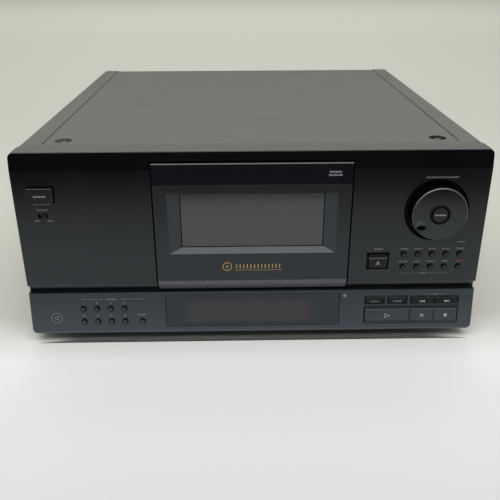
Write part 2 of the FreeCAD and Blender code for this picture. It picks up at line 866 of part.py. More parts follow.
def mini_jacks():
    first = CELL.jack_x + CELL.control_step
    return [first, first + CELL.jack_pitch]


def line_out_jacks():
    """Two pin sockets on one moulded block, their barrels standing out through the back."""
    piece = Piece("line_out_jacks")
    low = CELL.jack_x - CELL.jack_pitch / 2
    high = low + CELL.jack_pitch * 2
    tall = CELL.jack_pitch / 2
    depth = CELL.jack_block
    end = REAR_FACE + CELL.jack_length
    piece.pad("XZ", [rect(low, CELL.jack_z - tall, high, CELL.jack_z + tall)],
              REAR_BACK - depth, REAR_BACK)
    piece.pad("XZ", [circle(x, CELL.jack_z, CELL.jack_radius) for x in line_jacks()],
              REAR_BACK - CELL.sheet, end)
    piece.pocket("XZ", [circle(x, CELL.jack_z, CELL.jack_bore) for x in line_jacks()],
                 end - CELL.jack_deep, end + CELL.sheet)


def control_jacks():
    """Two mini sockets on one block, flush with the back."""
    piece = Piece("control_jacks")
    first, last = mini_jacks()
    tall = CELL.jack_pitch / 2
    piece.pad("XZ", [rect(first - tall, CELL.jack_z - tall, last + tall, CELL.jack_z + tall)],
              REAR_BACK - CELL.jack_block, REAR_BACK)
    end = REAR_FACE + CELL.sheet
    piece.pad("XZ", [circle(x, CELL.jack_z, CELL.mini_radius) for x in mini_jacks()],
              REAR_BACK - CELL.sheet, end)
    piece.pocket("XZ", [circle(x, CELL.jack_z, CELL.mini_bore) for x in mini_jacks()],
                 end - CELL.jack_deep, end + CELL.sheet)


def cord_gland():
    """The plastic bushing that leads the mains cord out through the back."""
    piece = Piece("cord_gland", CELL.gland_x, REAR_FACE, CELL.gland_z, -90)
    bore = CELL.gland_bore
    body = CELL.gland_radius
    flange = body + CELL.gland_flange
    thick = CELL.gland_flange
    proud = CELL.gland_proud
    inside = -CELL.sheet - thick
    piece.revolve([(bore, inside), (flange, inside), (flange, -CELL.sheet), (body, -CELL.sheet),
                   (body, 0), (flange, 0), (flange, thick), (body, proud), (bore, proud)])


# ---------------------------------------------------------------- front


def front_panel():
    """The hollow front moulding: a leaning lower face, a groove, the upper face and a band."""
    piece = Piece("front_panel")
    base = CELL.panel_base
    groove = CELL.groove_depth
    piece.pad("YZ", [poly((-CELL.chin, base), (PANEL_BACK, base), (PANEL_BACK, TOP),
                          (CELL.band_setback, TOP), (0, BAND_BASE), (0, UPPER_BASE),
                          (groove, UPPER_BASE), (groove, LOWER_TOP), (0, LOWER_TOP))],
              -HALF, HALF)
    piece.fillet(CELL.panel_corner, lambda e: along("y")(e) and (near(e, z=TOP) or near(e, z=base)))
    piece.fillet(CELL.chin_round, lower_rim)
    piece.fillet(CELL.brow_round, upper_rim)
    hollow_front(piece)
    seat_cover(piece)
    frame_door(piece)
    control_holes(piece)
    lower_holes(piece)


def lower_rim(edge):
    """Accepts the foot and the sides of the leaning face, with its round corners."""
    points = [vertex.Point for vertex in edge.Vertexes]
    on_face = all(abs(point.y - face_y(point.z).value) < NEAR for point in points)
    return on_face and min(point.z for point in points) < LOWER_TOP.value - NEAR


def upper_rim(edge):
    """Accepts the top and the sides of the face above the groove, with its round corners."""
    points = [vertex.Point for vertex in edge.Vertexes]
    at_edge = near(edge, z=TOP) or all(abs(point.x) > BROW_HALF.value for point in points)
    on_face = all(point.y < CELL.band_setback.value + NEAR for point in points)
    return at_edge and on_face and min(point.z for point in points) > UPPER_BASE.value - NEAR


def hollow_front(piece):
    """Opens the moulding from behind and leaves a wall along every outer face."""
    inner = HALF - WALL
    back = PANEL_BACK + WALL
    roof = TOP - CELL.sheet - WALL
    piece.pocket("XZ", [rect(-inner, UPPER_BASE + WALL, inner, BAND_BASE)], WALL, back)
    piece.pocket("XZ", [rect(-inner, BAND_BASE - WALL, inner, roof)],
                 CELL.band_setback + WALL, back)
    piece.pocket("XZ", [rect(-inner, LOWER_TOP - WALL * 2, inner, UPPER_BASE + WALL * 2)],
                 CELL.groove_depth + WALL, back)
    low, high = CELL.panel_base + WALL, LOWER_TOP - WALL
    piece.pocket("YZ", [poly((face_y(low) + WALL, low), (back, low), (back, high),
                             (face_y(high) + WALL, high))], -inner, inner)


def seat_cover(piece):
    """Lowers the top of the moulding between its cheeks, so that the cover lies flush."""
    half = COVER_HALF + CELL.fit_gap
    start = CELL.band_setback + CELL.band_lip
    piece.pocket("XY", [rect(-half, start, half, PANEL_BACK + WALL)], TOP - CELL.sheet, TOP + WALL)


def frame_door(piece):
    """The door's opening, its deep jambs and the two pins that the door turns on."""
    outer = JAMB + WALL
    low = LOWER_TOP - WALL
    piece.pad("XZ", [rect(-outer, low, outer, HEAD + WALL)], CELL.groove_depth, PANEL_BACK)
    piece.pocket("XZ", [rect(-JAMB, LOWER_TOP, JAMB, HEAD)], -WALL, PANEL_BACK + WALL)
    pin = [circle(CELL.hinge_inset, HINGE_Z, CELL.hinge_pin)]
    reach = CELL.door_gap + CELL.hinge_ear - CELL.fit_gap
    piece.pad("YZ", pin, -JAMB - WALL / 2, -JAMB + reach)
    piece.pad("YZ", pin, JAMB - reach, JAMB + WALL / 2)


def control_holes(piece):
    """The dial's well and the holes of the power, timer, eject and mode buttons."""
    well = CELL.dial_well
    deep = CELL.well_depth
    dial = (CELL.dial_x, CELL.dial_z)
    piece.pad("XZ", [circle(*dial, well + WALL)], WALL / 2, deep + WALL)
    piece.pocket("XZ", [circle(*dial, well)], -WALL, deep)
    gap = CELL.pad_gap
    holes = [circle(*dial, CELL.dial_hub + CELL.hub_clear)]
    holes.append(block(CELL.power_x, CELL.power_z, CELL.power_width + gap * 2,
                       CELL.power_height + gap * 2))
    holes.append(block(CELL.timer_x, CELL.timer_z, CELL.timer_slot, CELL.timer_height))
    holes.append(block(CELL.eject_x, CELL.eject_z, CELL.eject_width, CELL.eject_height))
    holes += [circle(x, z, CELL.key_radius + CELL.key_gap) for x, z in mode_places()]
    piece.pocket("XZ", holes, -WALL, deep + WALL * 2)


def lower_holes(piece):
    """The display's rabbet and the holes of every key on the leaning face."""
    low, high = display_edges()
    half = CELL.display_width / 2
    lap = CELL.window_lap
    outer = rounded(-half, low, half, high, CELL.display_corner)
    inner = rect(-half + lap, low + lap, half - lap, high - lap)
    piece.pocket("XZ", [outer], -WALL, CELL.display_plate, True)
    holes = [inner]
    holes += [circle(x, down(z), CELL.key_radius + CELL.key_gap) for x, z in group_places()]
    for low_x, high_x, low_z, high_z in pad_holes():
        holes.append(rect(low_x, down(low_z), high_x, down(high_z)))
    piece.pocket("XZ", holes, -WALL, WALL * 2, True)
    side = CELL.sensor_side
    sensor = block(CELL.sensor_x, down(CELL.panel_base + CELL.sensor_rise), side, side)
    piece.pocket("XZ", [sensor], -WALL, CELL.sensor_depth, True)


def display_edges():
    low = down(CELL.panel_base + CELL.display_low)
    return low, low + CELL.display_height


def display_window():
    """The tinted plate in front of the display, flush with the leaning face."""
    piece = Piece("display_window", 0, 0, LOWER_TOP, -LEAN)
    low, high = display_edges()
    gap = CELL.fit_gap / 2
    half = CELL.display_width / 2 - gap
    piece.pad("XZ", [rounded(-half, low + gap, half, high - gap, CELL.display_corner - gap)],
              0, CELL.display_plate)


def display_tube():
    """The glass display tube, standing on the control board behind the window."""
    piece = Piece("display_tube", 0, 0, LOWER_TOP, -LEAN)
    low, high = display_edges()
    middle = (low + high) / 2
    piece.pad("XZ", [block(CELL.readout_shift, middle, CELL.readout_width, CELL.readout_height)],
              CELL.board_depth - CELL.tube_depth, CELL.board_depth)


def control_board():
    """The board behind the leaning face, which carries the display and the key switches."""
    piece = Piece("control_board", 0, 0, LOWER_TOP, -LEAN)
    half = HALF - WALL - CELL.board_margin
    edge = CELL.board_edge
    depth = CELL.board_depth
    sag = (depth + CELL.board_thick) * sine(LEAN)
    low = down(CELL.panel_base + WALL) + sag + edge
    high = down(LOWER_TOP - WALL) - edge
    piece.pad("XZ", [rect(-half, low, half, high)], depth, depth + CELL.board_thick)
    for bounds in (group_bounds(), pad_bounds()):
        piece.pad("XZ", [rect(*bounds)], depth - CELL.switch_height, depth)


def group_bounds():
    """The row of key switches behind the group keys."""
    xs = [x for x, z in group_places()]
    zs = [z for x, z in group_places()]
    edge = CELL.key_radius
    return xs[0] - edge, down(zs[-1]) - edge, xs[-1] + edge, down(zs[0]) + edge


def pad_bounds():
    """The row of key switches behind the play keys."""
    low = CELL.panel_base + CELL.play_low + CELL.pad_inset
    high = low + CELL.play_height - CELL.pad_inset * 2
    last = CELL.skip_x + CELL.skip_width * 2
    return CELL.pad_x + CELL.pad_inset, down(low), last - CELL.pad_inset, down(high)


# ---------------------------------------------------------------- door


def door_panel():
    """The drop-down door: a hollow moulding with a sunk window frame and two hinge ears."""
    piece = Piece("door_panel")
    depth = CELL.door_depth
    wall = CELL.door_wall
    bevel_top = DOOR_FOOT + CELL.bevel_height
    piece.pad("YZ", [poly((CELL.bevel_depth, DOOR_FOOT), (depth, DOOR_FOOT), (depth, DOOR_TOP),
                          (0, DOOR_TOP), (0, bevel_top))], -DOOR_HALF, DOOR_HALF)
    inner = DOOR_HALF - wall
    back = depth + wall
    piece.pocket("XZ", [rect(-inner, bevel_top, inner, DOOR_TOP - wall)],
                 CELL.strip_depth + wall, back)
    piece.pocket("XZ", [rect(-inner, DOOR_FOOT + wall, inner, bevel_top)],
                 CELL.bevel_depth + wall, back)
    piece.pad("XZ", [rect(-BEZEL_HALF - wall, BEZEL_LOW - wall, BEZEL_HALF + wall, BEZEL_TOP + wall)],
              wall, CELL.bezel_depth + CELL.glass_depth)
    frame_window(piece)
    piece.pocket("XZ", [rect(-DOOR_HALF - wall, STRIP_LOW, DOOR_HALF + wall, DOOR_TOP + wall)],
                 -wall, CELL.strip_depth)
    ear = CELL.hinge_pin + CELL.hinge_boss
    centre = (CELL.hinge_inset, HINGE_Z)
    for start, end in ((-DOOR_HALF, CELL.hinge_ear - DOOR_HALF), (DOOR_HALF - CELL.hinge_ear, DOOR_HALF)):
        piece.pad("YZ", [circle(*centre, ear)], start, end)
        piece.pocket("YZ", [circle(*centre, CELL.hinge_pin + CELL.hinge_clear)],
                     start - wall, end + wall)


def frame_window(piece):
    """Slopes the frame's four sides down to the pane, which sits in a rabbet behind."""
    outer = rect(-BEZEL_HALF, BEZEL_LOW, BEZEL_HALF, BEZEL_TOP)
    inner = rect(-PANE_HALF, PANE_LOW, PANE_HALF, PANE_TOP)
    piece.loft("SubtractiveLoft", outer, 0, inner, CELL.bezel_depth)
    piece.pocket("XZ", [inner], 0, CELL.door_depth)
    lap = CELL.glass_lap
    piece.pocket("XZ", [rect(-PANE_HALF - lap, PANE_LOW - lap, PANE_HALF + lap, PANE_TOP + lap)],
                 CELL.bezel_depth, CELL.door_depth)


def door_window():
    """The clear pane in the door's frame."""
    piece = Piece("door_window")
    lap = CELL.glass_lap - CELL.fit_gap
    piece.pad("XZ", [rect(-PANE_HALF - lap, PANE_LOW - lap, PANE_HALF + lap, PANE_TOP + lap)],
              CELL.bezel_depth, CELL.bezel_depth + CELL.glass_depth)


def door_strip():
    """The gloss strip along the top of the door, with a bright bevelled upper edge."""
    piece = Piece("door_strip")
    piece.pad("XZ", [rect(-DOOR_HALF, STRIP_LOW, DOOR_HALF, DOOR_TOP)], 0, CELL.strip_depth)
    piece.chamfer(CELL.strip_bevel, lambda e: along("x")(e) and near(e, y=0) and near(e, z=DOOR_TOP))


# ---------------------------------------------------------------- keys and knobs

GROUP_COLUMNS = 4
MODE_COLUMNS = 5


def group_places():
    """The group keys: two rows of four, then the file key at the end of the lower row."""
    low = CELL.panel_base + CELL.group_low
    places = []
    for row in (1, 0):
        for column in range(GROUP_COLUMNS):
            places.append((CELL.group_x + column * CELL.key_pitch, low + row * CELL.row_pitch))
    places.append((CELL.file_x, low))
    return places


def mode_places():
    """The mode keys: two rows of five."""
    places = []
    for row in (1, 0):
        for column in range(MODE_COLUMNS):
            places.append((CELL.mode_x + column * CELL.key_pitch, CELL.mode_low + row * CELL.row_pitch))
    return places


def round_key(label, x, y, z, angle):
    """A small turned key with a flange behind the wall and a stem to its switch."""
    piece = Piece(label, x, y, z, angle)
    proud = CELL.key_proud
    edge = CELL.key_chamfer
    radius = CELL.key_radius
    behind = -WALL - CELL.key_slack
    flange = behind - CELL.key_flange
    stem = CELL.switch_height - CELL.board_depth + CELL.key_travel + CELL.key_slack
    piece.revolve([(0, proud), (radius - edge, proud), (radius, proud - edge), (radius, behind),
                   (radius + edge * 2, behind), (radius + edge * 2, flange), (radius / 2, flange),
                   (radius / 2, stem), (0, stem)])


def round_keys():
    for number, (x, z) in enumerate(mode_places(), start=1):
        round_key(f"mode_button_{number}", x, 0, z, 90)
    places = group_places()
    for number, (x, z) in enumerate(places[:-1], start=1):
        round_key(f"group_button_{number}", x, face_y(z), z, 90 - LEAN)
    file_x, file_z = places[-1]
    round_key("group_file_button", file_x, face_y(file_z), file_z, 90 - LEAN)


def pad_keys():
    """The flat keys of the leaning face, as label, left, right, low and high."""
    base = CELL.panel_base
    skip_low = base + CELL.skip_low
    skip_high = skip_low + CELL.skip_height
    play_low = base + CELL.play_low
    play_high = play_low + CELL.play_height
    first = CELL.pad_x
    second = first + CELL.time_width + CELL.time_space
    skip = CELL.skip_x
    step = CELL.skip_width
    return [("time_key", first, first + CELL.time_width, skip_low, skip_high),
            ("repeat_key", second, second + CELL.time_width, skip_low, skip_high),
            ("skip_back_key", skip, skip + step, skip_low, skip_high),
            ("skip_forward_key", skip + step, skip + step * 2, skip_low, skip_high),
            ("play_key", first, first + CELL.play_width, play_low, play_high),
            ("pause_key", skip, skip + step, play_low, play_high),
            ("stop_key", skip + step, skip + step * 2, play_low, play_high)]


def pad_holes():
    """One hole for each flat key or row of keys, a little larger than its keys."""
    keys = {label: bounds for label, *bounds in pad_keys()}
    rows = [("time_key", "time_key"), ("repeat_key", "repeat_key"),
            ("skip_back_key", "skip_forward_key"), ("play_key", "stop_key")]
    holes = []
    for first, last in rows:
        low_x, _, low_z, high_z = keys[first]
        holes.append((low_x, keys[last][1], low_z, high_z))
    return holes


def flat_keys():
    """Flat keys, each with a lip above and below it behind the wall."""
    gap = CELL.pad_gap
    lip = CELL.key_flange
    behind = WALL + CELL.key_slack
    holes = pad_holes()
    starts = [low_x.text for low_x, *_ in holes]
    ends = [high_x.text for _, high_x, *_ in holes]
    for label, left, right, low, high in pad_keys():
        middle = (low + high) / 2
        piece = Piece(label, (left + right) / 2, face_y(middle), middle, -LEAN)
        half = (right - left) / 2
        tall = (high - low) / cosine(LEAN) - gap * 2
        near_side = gap if left.text in starts else CELL.pad_split
        far_side = gap if right.text in ends else CELL.pad_split
        face = rect(near_side - half, -tall / 2, half - far_side, tall / 2)
        piece.pad("XZ", [face], -CELL.pad_proud, behind + lip)
        proud = CELL.pad_proud
        piece.chamfer(CELL.pad_chamfer, lambda e, front=proud: near(e, y=-front))
        flange = rect(near_side - half, -tall / 2 - gap * 2, half - far_side, tall / 2 + gap * 2)
        piece.pad("XZ", [flange], behind, behind + lip)
        stem = CELL.board_depth - CELL.switch_height - CELL.key_travel - CELL.key_slack
        piece.pad("XZ", [circle(0, 0, CELL.key_radius / 2)], behind, stem)


def power_button():
    """The large power button, standing out of the panel, with a lip behind the wall."""
    piece = Piece("power_button", CELL.power_x, 0, CELL.power_z)
    wide, tall = CELL.power_width, CELL.power_height
    corner = CELL.power_corner
    lip = WALL + CELL.key_slack
    piece.pad("XZ", [rounded(-wide / 2, -tall / 2, wide / 2, tall / 2, corner)],
              -CELL.power_proud, lip + CELL.key_flange)
    piece.chamfer(CELL.pad_chamfer, lambda e: near(e, y=-CELL.power_proud))
    piece.pad("XZ", [block(0, 0, wide + CELL.pad_gap * 4, tall + CELL.pad_gap * 4)],
              lip, lip + CELL.key_flange)
    piece.pad("XZ", [circle(0, 0, CELL.key_radius)], lip, lip + CELL.power_stem)


def timer_switch_knob():
    """The ribbed slide of the timer switch, on a plate that hides the slot from behind."""
    piece = Piece("timer_switch_knob", CELL.timer_x + CELL.timer_travel, 0, CELL.timer_z)
    wide = CELL.timer_knob
    tall = CELL.timer_height - CELL.key_gap * 2
    lip = WALL + CELL.key_slack
    cover = CELL.timer_slot + CELL.timer_travel
    piece.pad("XZ", [block(0, 0, wide, tall)], -CELL.key_proud, lip + CELL.key_flange)
    piece.pocket("XZ", [block(0, 0, wide / 4, tall * 2)], -CELL.key_proud,
                 CELL.key_chamfer - CELL.key_proud)
    piece.pad("XZ", [block(0, 0, cover, tall + CELL.pad_gap * 4)], lip, lip + CELL.key_flange)


def eject_button():
    """The eject button: a flat lower face, and a slope that runs back above it."""
    piece = Piece("eject_button", CELL.eject_x, 0, CELL.eject_z)
    half = CELL.eject_width / 2 - CELL.eject_rim
    tall = CELL.eject_height / 2 - CELL.eject_gap
    lip = WALL + CELL.key_slack
    back = lip + CELL.key_flange
    face = -CELL.eject_proud
    piece.pad("YZ", [poly((CELL.key_chamfer, -tall), (back, -tall), (back, tall), (WALL / 2, tall),
                          (face, tall / 3), (face, CELL.key_chamfer - tall))], -half, half)
    piece.pad("XZ", [block(0, 0, CELL.eject_width + CELL.pad_gap * 2,
                           CELL.eject_height + CELL.pad_gap * 4)], lip, back)
    piece.pad("XZ", [circle(0, 0, CELL.key_radius)], lip, lip + CELL.power_stem)


def jog_dial():
    """The hollow dial: a bevelled rim, a finger dimple and a lip round its middle."""
    piece = Piece("jog_dial", CELL.dial_x, 0, CELL.dial_z, 90)
    face = CELL.dial_proud
    lip = face + CELL.lip_rise
    radius = CELL.dial_radius
    bevel = CELL.dial_bevel
    pot = CELL.enter_radius + CELL.fit_gap
    bottom = face - CELL.enter_depth
    bore = CELL.dial_shaft + CELL.hub_clear
    skirt = CELL.fit_gap - CELL.well_depth
    hub = CELL.dial_hub
    end = -CELL.well_depth - WALL * 2
    piece.revolve([(bore, bottom), (pot, bottom), (pot, lip), (CELL.lip_radius, lip),
                   (CELL.lip_radius, face), (radius - bevel, face), (radius, face - bevel),
                   (radius, skirt), (hub, skirt), (hub, end), (bore, end)])
    reach = CELL.finger_reach
    across = reach * CELL.finger_share
    drop = reach * CELL.finger_drop
    piece.dish(-across, -drop, face, CELL.finger_radius, CELL.finger_depth)
    piece.pocket("XY", [circle(0, 0, radius - WALL)], skirt - CELL.fit_gap, bottom - WALL)
    piece.pad("XY", [circle(0, 0, hub)], end, bottom)
    piece.pocket("XY", [circle(0, 0, bore)], end - WALL, bottom + WALL)


def enter_button():
    """The button in the middle of the dial, on a stem that runs through the hub."""
    piece = Piece("enter_button", CELL.dial_x, 0, CELL.dial_z, 90)
    face = CELL.dial_proud + CELL.enter_proud
    radius = CELL.enter_radius
    edge = CELL.key_chamfer
    under = CELL.dial_proud - CELL.enter_depth + CELL.enter_travel + CELL.fit_gap
    shaft = CELL.dial_shaft
    piece.revolve([(0, face), (radius - edge, face), (radius, face - edge), (radius, under),
                   (shaft, under), (shaft, -CELL.selector_depth + CELL.enter_travel + CELL.key_slack),
                   (0, -CELL.selector_depth + CELL.enter_travel + CELL.key_slack)])


def selector_board():
    """The board behind the upper right face, with the dial's and the mode keys' switches."""
    piece = Piece("selector_board")
    left = JAMB + WALL + CELL.board_edge
    right = HALF - WALL - CELL.board_margin
    low = UPPER_BASE + WALL + CELL.board_edge
    high = CELL.dial_z + CELL.dial_well
    depth = CELL.selector_depth
    piece.pad("XZ", [rect(left, low, right, high)], depth, depth + CELL.board_thick)
    first = CELL.mode_x - CELL.key_radius
    last = CELL.mode_x + CELL.key_pitch * 4 + CELL.key_radius
    bottom = CELL.mode_low - CELL.key_radius
    top = CELL.mode_low + CELL.row_pitch + CELL.key_radius
    piece.pad("XZ", [rect(first, bottom, last, top)], CELL.board_depth - CELL.switch_height, depth)


# ---------------------------------------------------------------- disc table


def gear_gap(teeth, pitch, tip, bottom, steps):
    """One tooth gap, centred on +y, between involute flanks."""
    base = pitch * cosine(CELL.pressure_angle)
    half_tooth = 90 / size(teeth) + involute(pitch, base) - degrees(CELL.backlash / pitch / 2)
    right = []
    for step in range(steps + 1):
        radius = tip - (tip - bottom) * step / steps
        right.append(gap_point(radius, base, teeth, half_tooth))
    outside = tip + CELL.backlash * 2
    first = right[0]
    right.insert(0, (first[0], outside))
    return poly(*([(-x, y) for x, y in right] + right[::-1]))


RIM_STEPS = 2
PINION_STEPS = 4
CRADLE_SHARES = (0.35, 0.65, 0.88)


def gap_point(radius, base, teeth, half_tooth):
    """A point on the right flank of the gap, at a radius."""
    angle = 180 / size(teeth) - half_tooth + involute(radius, base)
    return radius * sine(angle), radius * cosine(angle)


def involute(radius, base):
    """The involute function, in degrees, of the pressure angle at a radius."""
    if radius.value <= base.value:
        return size(0)
    slope = root(radius * radius / (base * base) - 1)
    return degrees(slope) - arc_tan(slope)


def degrees(ratio):
    return ratio * 180 / Size("pi", math.pi)


def rotary_table():
    """The ring that carries the discs: a toothed rim, and a cradle slot for each disc."""
    piece = Piece("rotary_table", 0, TABLE_Y, TABLE_Z)
    floor = CELL.table_floor
    gear = CELL.gear_height
    top = floor + CELL.fin_height
    piece.revolve([(WELL_RADIUS, 0), (TABLE_RADIUS, 0), (TABLE_RADIUS, gear), (RIM_ROOT, gear),
                   (RIM_ROOT, top), (WELL_RADIUS, top)])
    outline = gear_gap(CELL.rim_teeth, RIM_PITCH, TABLE_RADIUS, RIM_ROOT, RIM_STEPS)
    gap = piece.pocket("XY", [outline], -floor, gear)
    piece.pattern("PolarPattern", gap, CELL.rim_teeth, "Z_Axis")
    half = CELL.slot_width / 2
    slot = piece.pocket("YZ", [cradle_outline(floor, top)], -half, half)
    piece.pattern("PolarPattern", slot, CELL.table_slots, "Z_Axis")


def cradle_outline(floor, top):
    """The side view of one slot: a bed under the disc, open towards the middle."""
    centre = floor + CRADLE
    outer = []
    for share in CRADLE_SHARES:
        reach = CRADLE * share
        outer.append((STORE_RADIUS + reach, centre - root(CRADLE * CRADLE - reach * reach)))
    first = outer[0]
    tail = (STORE_RADIUS + CRADLE, top + floor)
    start = (WELL_RADIUS - floor, top + floor)
    sill = (WELL_RADIUS - floor, first[1])
    inner = (STORE_RADIUS * 2 - first[0], first[1])
    middle = (STORE_RADIUS, floor)
    return poly(start, sill, inner, middle, *outer, tail)


def table_base():
    """The moulded base: a plate, the collar that centres the table, and the motor's bridge."""
    piece = Piece("table_base", 0, TABLE_Y, PAN_FLOOR)
    plate = CELL.base_thick
    collar = WELL_RADIUS - CELL.hub_clear
    wall = CELL.ring_wall
    rise = CELL.table_rise
    track = STORE_RADIUS
    runner = CELL.track_width / 2
    under = rise - CELL.key_slack
    outer = RIM_ROOT - CELL.ring_wall
    piece.revolve([(collar - wall, 0), (outer, 0), (outer, plate), (track + runner, plate),
                   (track + runner, under), (track - runner, under), (track - runner, plate),
                   (collar, plate), (collar, rise + CELL.table_floor), (collar - wall, rise)])
    motor_bridge(piece)


def motor_bridge(piece):
    """Two posts and a shelf beside the table, over the pinion."""
    x, y = DRIVE_X, DRIVE_Y - TABLE_Y
    reach = PINION_PITCH + MODULE + CELL.bridge_gap
    post = CELL.bridge_post
    shelf = DRIVE_Z - PAN_FLOOR - CELL.base_thick
    foot = rect(x - reach - post, y - post, x + CELL.motor_radius, y + post)
    piece.pad("XY", [rect(x - reach - post, y - post, -FRAME_HALF, y + post)], 0, CELL.base_thick)
    piece.pad("XY", [foot], shelf, shelf + CELL.base_thick)
    piece.pocket("XY", [circle(x, y, CELL.motor_shaft + CELL.fit_gap)], shelf - SPARE,
                 shelf + CELL.base_thick + SPARE)
    piece.pad("XY", [rect(x - reach - post, y - post, x - reach, y + post)], 0, shelf)


def table_motor():
    """The can motor over the pinion, its shaft reaching down through the shelf."""
    piece = Piece("table_motor", DRIVE_X, DRIVE_Y, DRIVE_Z)
    can = CELL.motor_radius
    boss = CELL.motor_boss
    tall = CELL.motor_height
    edge = CELL.key_flange
    shaft = CELL.motor_shaft
    end = TABLE_Z - DRIVE_Z
    piece.revolve([(0, end), (shaft, end), (shaft, 0), (can, 0), (can, tall - edge),
                   (can - edge, tall), (boss, tall), (boss, tall + edge), (0, tall + edge)])


def table_pinion():
    """The small gear on the motor's shaft, turned so that it meshes with the rim."""
    share = CELL.rim_teeth / CELL.pinion_teeth
    turn = CELL.drive_angle + 90 + (CELL.drive_angle - 90) * share - 180 / CELL.pinion_teeth
    piece = Piece("table_pinion", DRIVE_X, DRIVE_Y, TABLE_Z, turn, "z")
    tip = PINION_PITCH + MODULE
    bottom = PINION_PITCH - MODULE * CELL.root_depth
    gear = CELL.gear_height
    bore = CELL.motor_shaft + CELL.hub_clear
    piece.revolve([(bore, 0), (tip, 0), (tip, gear), (bottom / 2, gear),
                   (bottom / 2, gear + CELL.key_flange), (bore, gear + CELL.key_flange)])
    outline = gear_gap(CELL.pinion_teeth, PINION_PITCH, tip, bottom, PINION_STEPS)
    gap = piece.pocket("XY", [outline], -gear, gear)
    piece.pattern("PolarPattern", gap, CELL.pinion_teeth, "Z_Axis")


# ---------------------------------------------------------------- player


def mech_frame():
    """Two upright plates in the table's well, and the bridge from their tops to the back."""
    piece = Piece("mech_frame", 0, TABLE_Y, 0)
    low = PAN_FLOOR
    foot = CELL.base_thick
    back = REAR_BACK - TABLE_Y
    bridge = CELL.bridge_width / 2
    reach = FRAME_HALF - foot
    piece.pad("XY", [rect(-CELL.frame_foot, -reach, CELL.frame_foot, reach)], low, low + foot)
    for start, end in ((-SIDE_OUT, -SIDE_IN), (SIDE_IN, SIDE_OUT)):
        piece.pad("YZ", [rect(-FRAME_HALF, low, FRAME_HALF, BRIDGE_LOW)], start, end)
    piece.pad("XY", [rect(-bridge, -FRAME_HALF, bridge, back)], BRIDGE_LOW, BRIDGE_TOP)
    rib = CELL.player_wall
    for side in (-1, 1):
        edge = side * bridge
        inner = edge - side * rib
        piece.pad("XZ", [rect(smaller(edge, inner), BRIDGE_LOW - CELL.bridge_rib,
                              larger(edge, inner), BRIDGE_LOW)], -FRAME_HALF, back)
    lever_ears(piece)
    player_windows(piece)
    sled_lugs(piece)
    clamp_ears(piece)


def lever_ears(piece):
    """Two ears under the bridge and the pin that the loading lever swings on."""
    y = LEVER_Y - TABLE_Y
    gap = CELL.lever_thick / 2 + CELL.key_gap
    ear = CELL.lever_boss
    wall = CELL.player_wall
    for side in (-1, 1):
        near_x, far_x = side * gap, side * (gap + wall)
        start, end = (near_x, far_x) if side > 0 else (far_x, near_x)
        piece.pad("YZ", [rect(y - ear, LEVER_Z - ear, y + ear, BRIDGE_LOW)], start, end)
    piece.pad("YZ", [circle(y, LEVER_Z, CELL.hinge_pin)], -gap - wall / 2, gap + wall / 2)


def player_windows(piece):
    """The holes in the plates for the spindle, the pickup and the clamp."""
    spin = CELL.platter_radius + CELL.fit_gap * 2
    hub = circle(0, PLAY_Z, CELL.spindle_boss + CELL.fit_gap)
    piece.pocket("YZ", [hub], -SIDE_OUT - SPARE, SPARE - SIDE_IN)
    start = PLAY_Z - CELL.lens_reach + CELL.lens_half + CELL.fit_gap * 2
    end = PLAY_Z - CELL.lens_reach - CELL.pickup_travel - CELL.lens_half - CELL.fit_gap * 2
    half = CELL.lens_half + CELL.fit_gap * 2
    piece.pocket("YZ", [rect(-half, end, half, start)], -SIDE_OUT - SPARE, SPARE - SIDE_IN)
    piece.pocket("YZ", [circle(0, PLAY_Z, spin)], SIDE_IN - SPARE, SIDE_OUT + SPARE)


def rail_places():
    reach = CELL.sled_wide / 2 - CELL.rail_inset
    return [(SLED_X, -reach), (SLED_X, reach)]


def sled_lugs(piece):
    """Lugs at both ends of the pickup's travel, with a steel rail between each pair."""
    high = PLAY_Z - CELL.lens_reach + CELL.sled_tall / 2 + CELL.rail_spare
    low = high - CELL.sled_tall - CELL.pickup_travel - CELL.rail_spare * 2
    lug = CELL.lug_thick
    tab = CELL.rail_radius + CELL.rail_spare
    for x, y in rail_places():
        for start, end in ((high, high + lug), (low - lug, low)):
            piece.pad("XY", [rect(x - tab, y - tab, -SIDE_IN, y + tab)], start, end)
        piece.pad("XY", [circle(x, y, CELL.rail_radius)], low - lug / 2, high + lug / 2)


def optical_pickup():
    """The pickup's sled on its two rails, with the lens standing through the plate."""
    home = PLAY_Z - CELL.lens_reach
    piece = Piece("optical_pickup", SLED_X, TABLE_Y, home)
    tall = CELL.sled_tall / 2
    wide = CELL.sled_wide / 2
    thick = CELL.sled_thick / 2
    piece.pad("YZ", [rect(-wide, -tall, wide, tall)], -thick, thick)
    lens = CELL.lens_half
    reach = -SIDE_IN - SLED_X + CELL.lens_proud
    piece.pad("YZ", [circle(0, 0, lens)], thick, reach)
    piece.pad("YZ", [circle(0, 0, lens / 2)], reach, reach + CELL.key_chamfer)
    bores = [circle(x - SLED_X, y, CELL.rail_radius + CELL.hub_clear) for x, y in rail_places()]
    piece.pocket("XY", bores, -tall - lens, tall + lens)


def disc_turntable():
    """The platter that the disc is clamped to, with its centring cone and shaft."""
    piece = Piece("disc_turntable", 0, TABLE_Y, PLAY_Z, 90, "y")
    face = -CELL.disc_thick / 2
    platter = CELL.platter_radius
    back = face - CELL.platter_thick
    cone = CELL.spindle_radius
    shaft = CELL.spindle_shaft
    end = -SIDE_OUT - CELL.spindle_depth
    piece.revolve([(0, -face), (cone / 2, -face), (cone, face), (platter, face), (platter, back),
                   (shaft, back), (shaft, end), (0, end)])


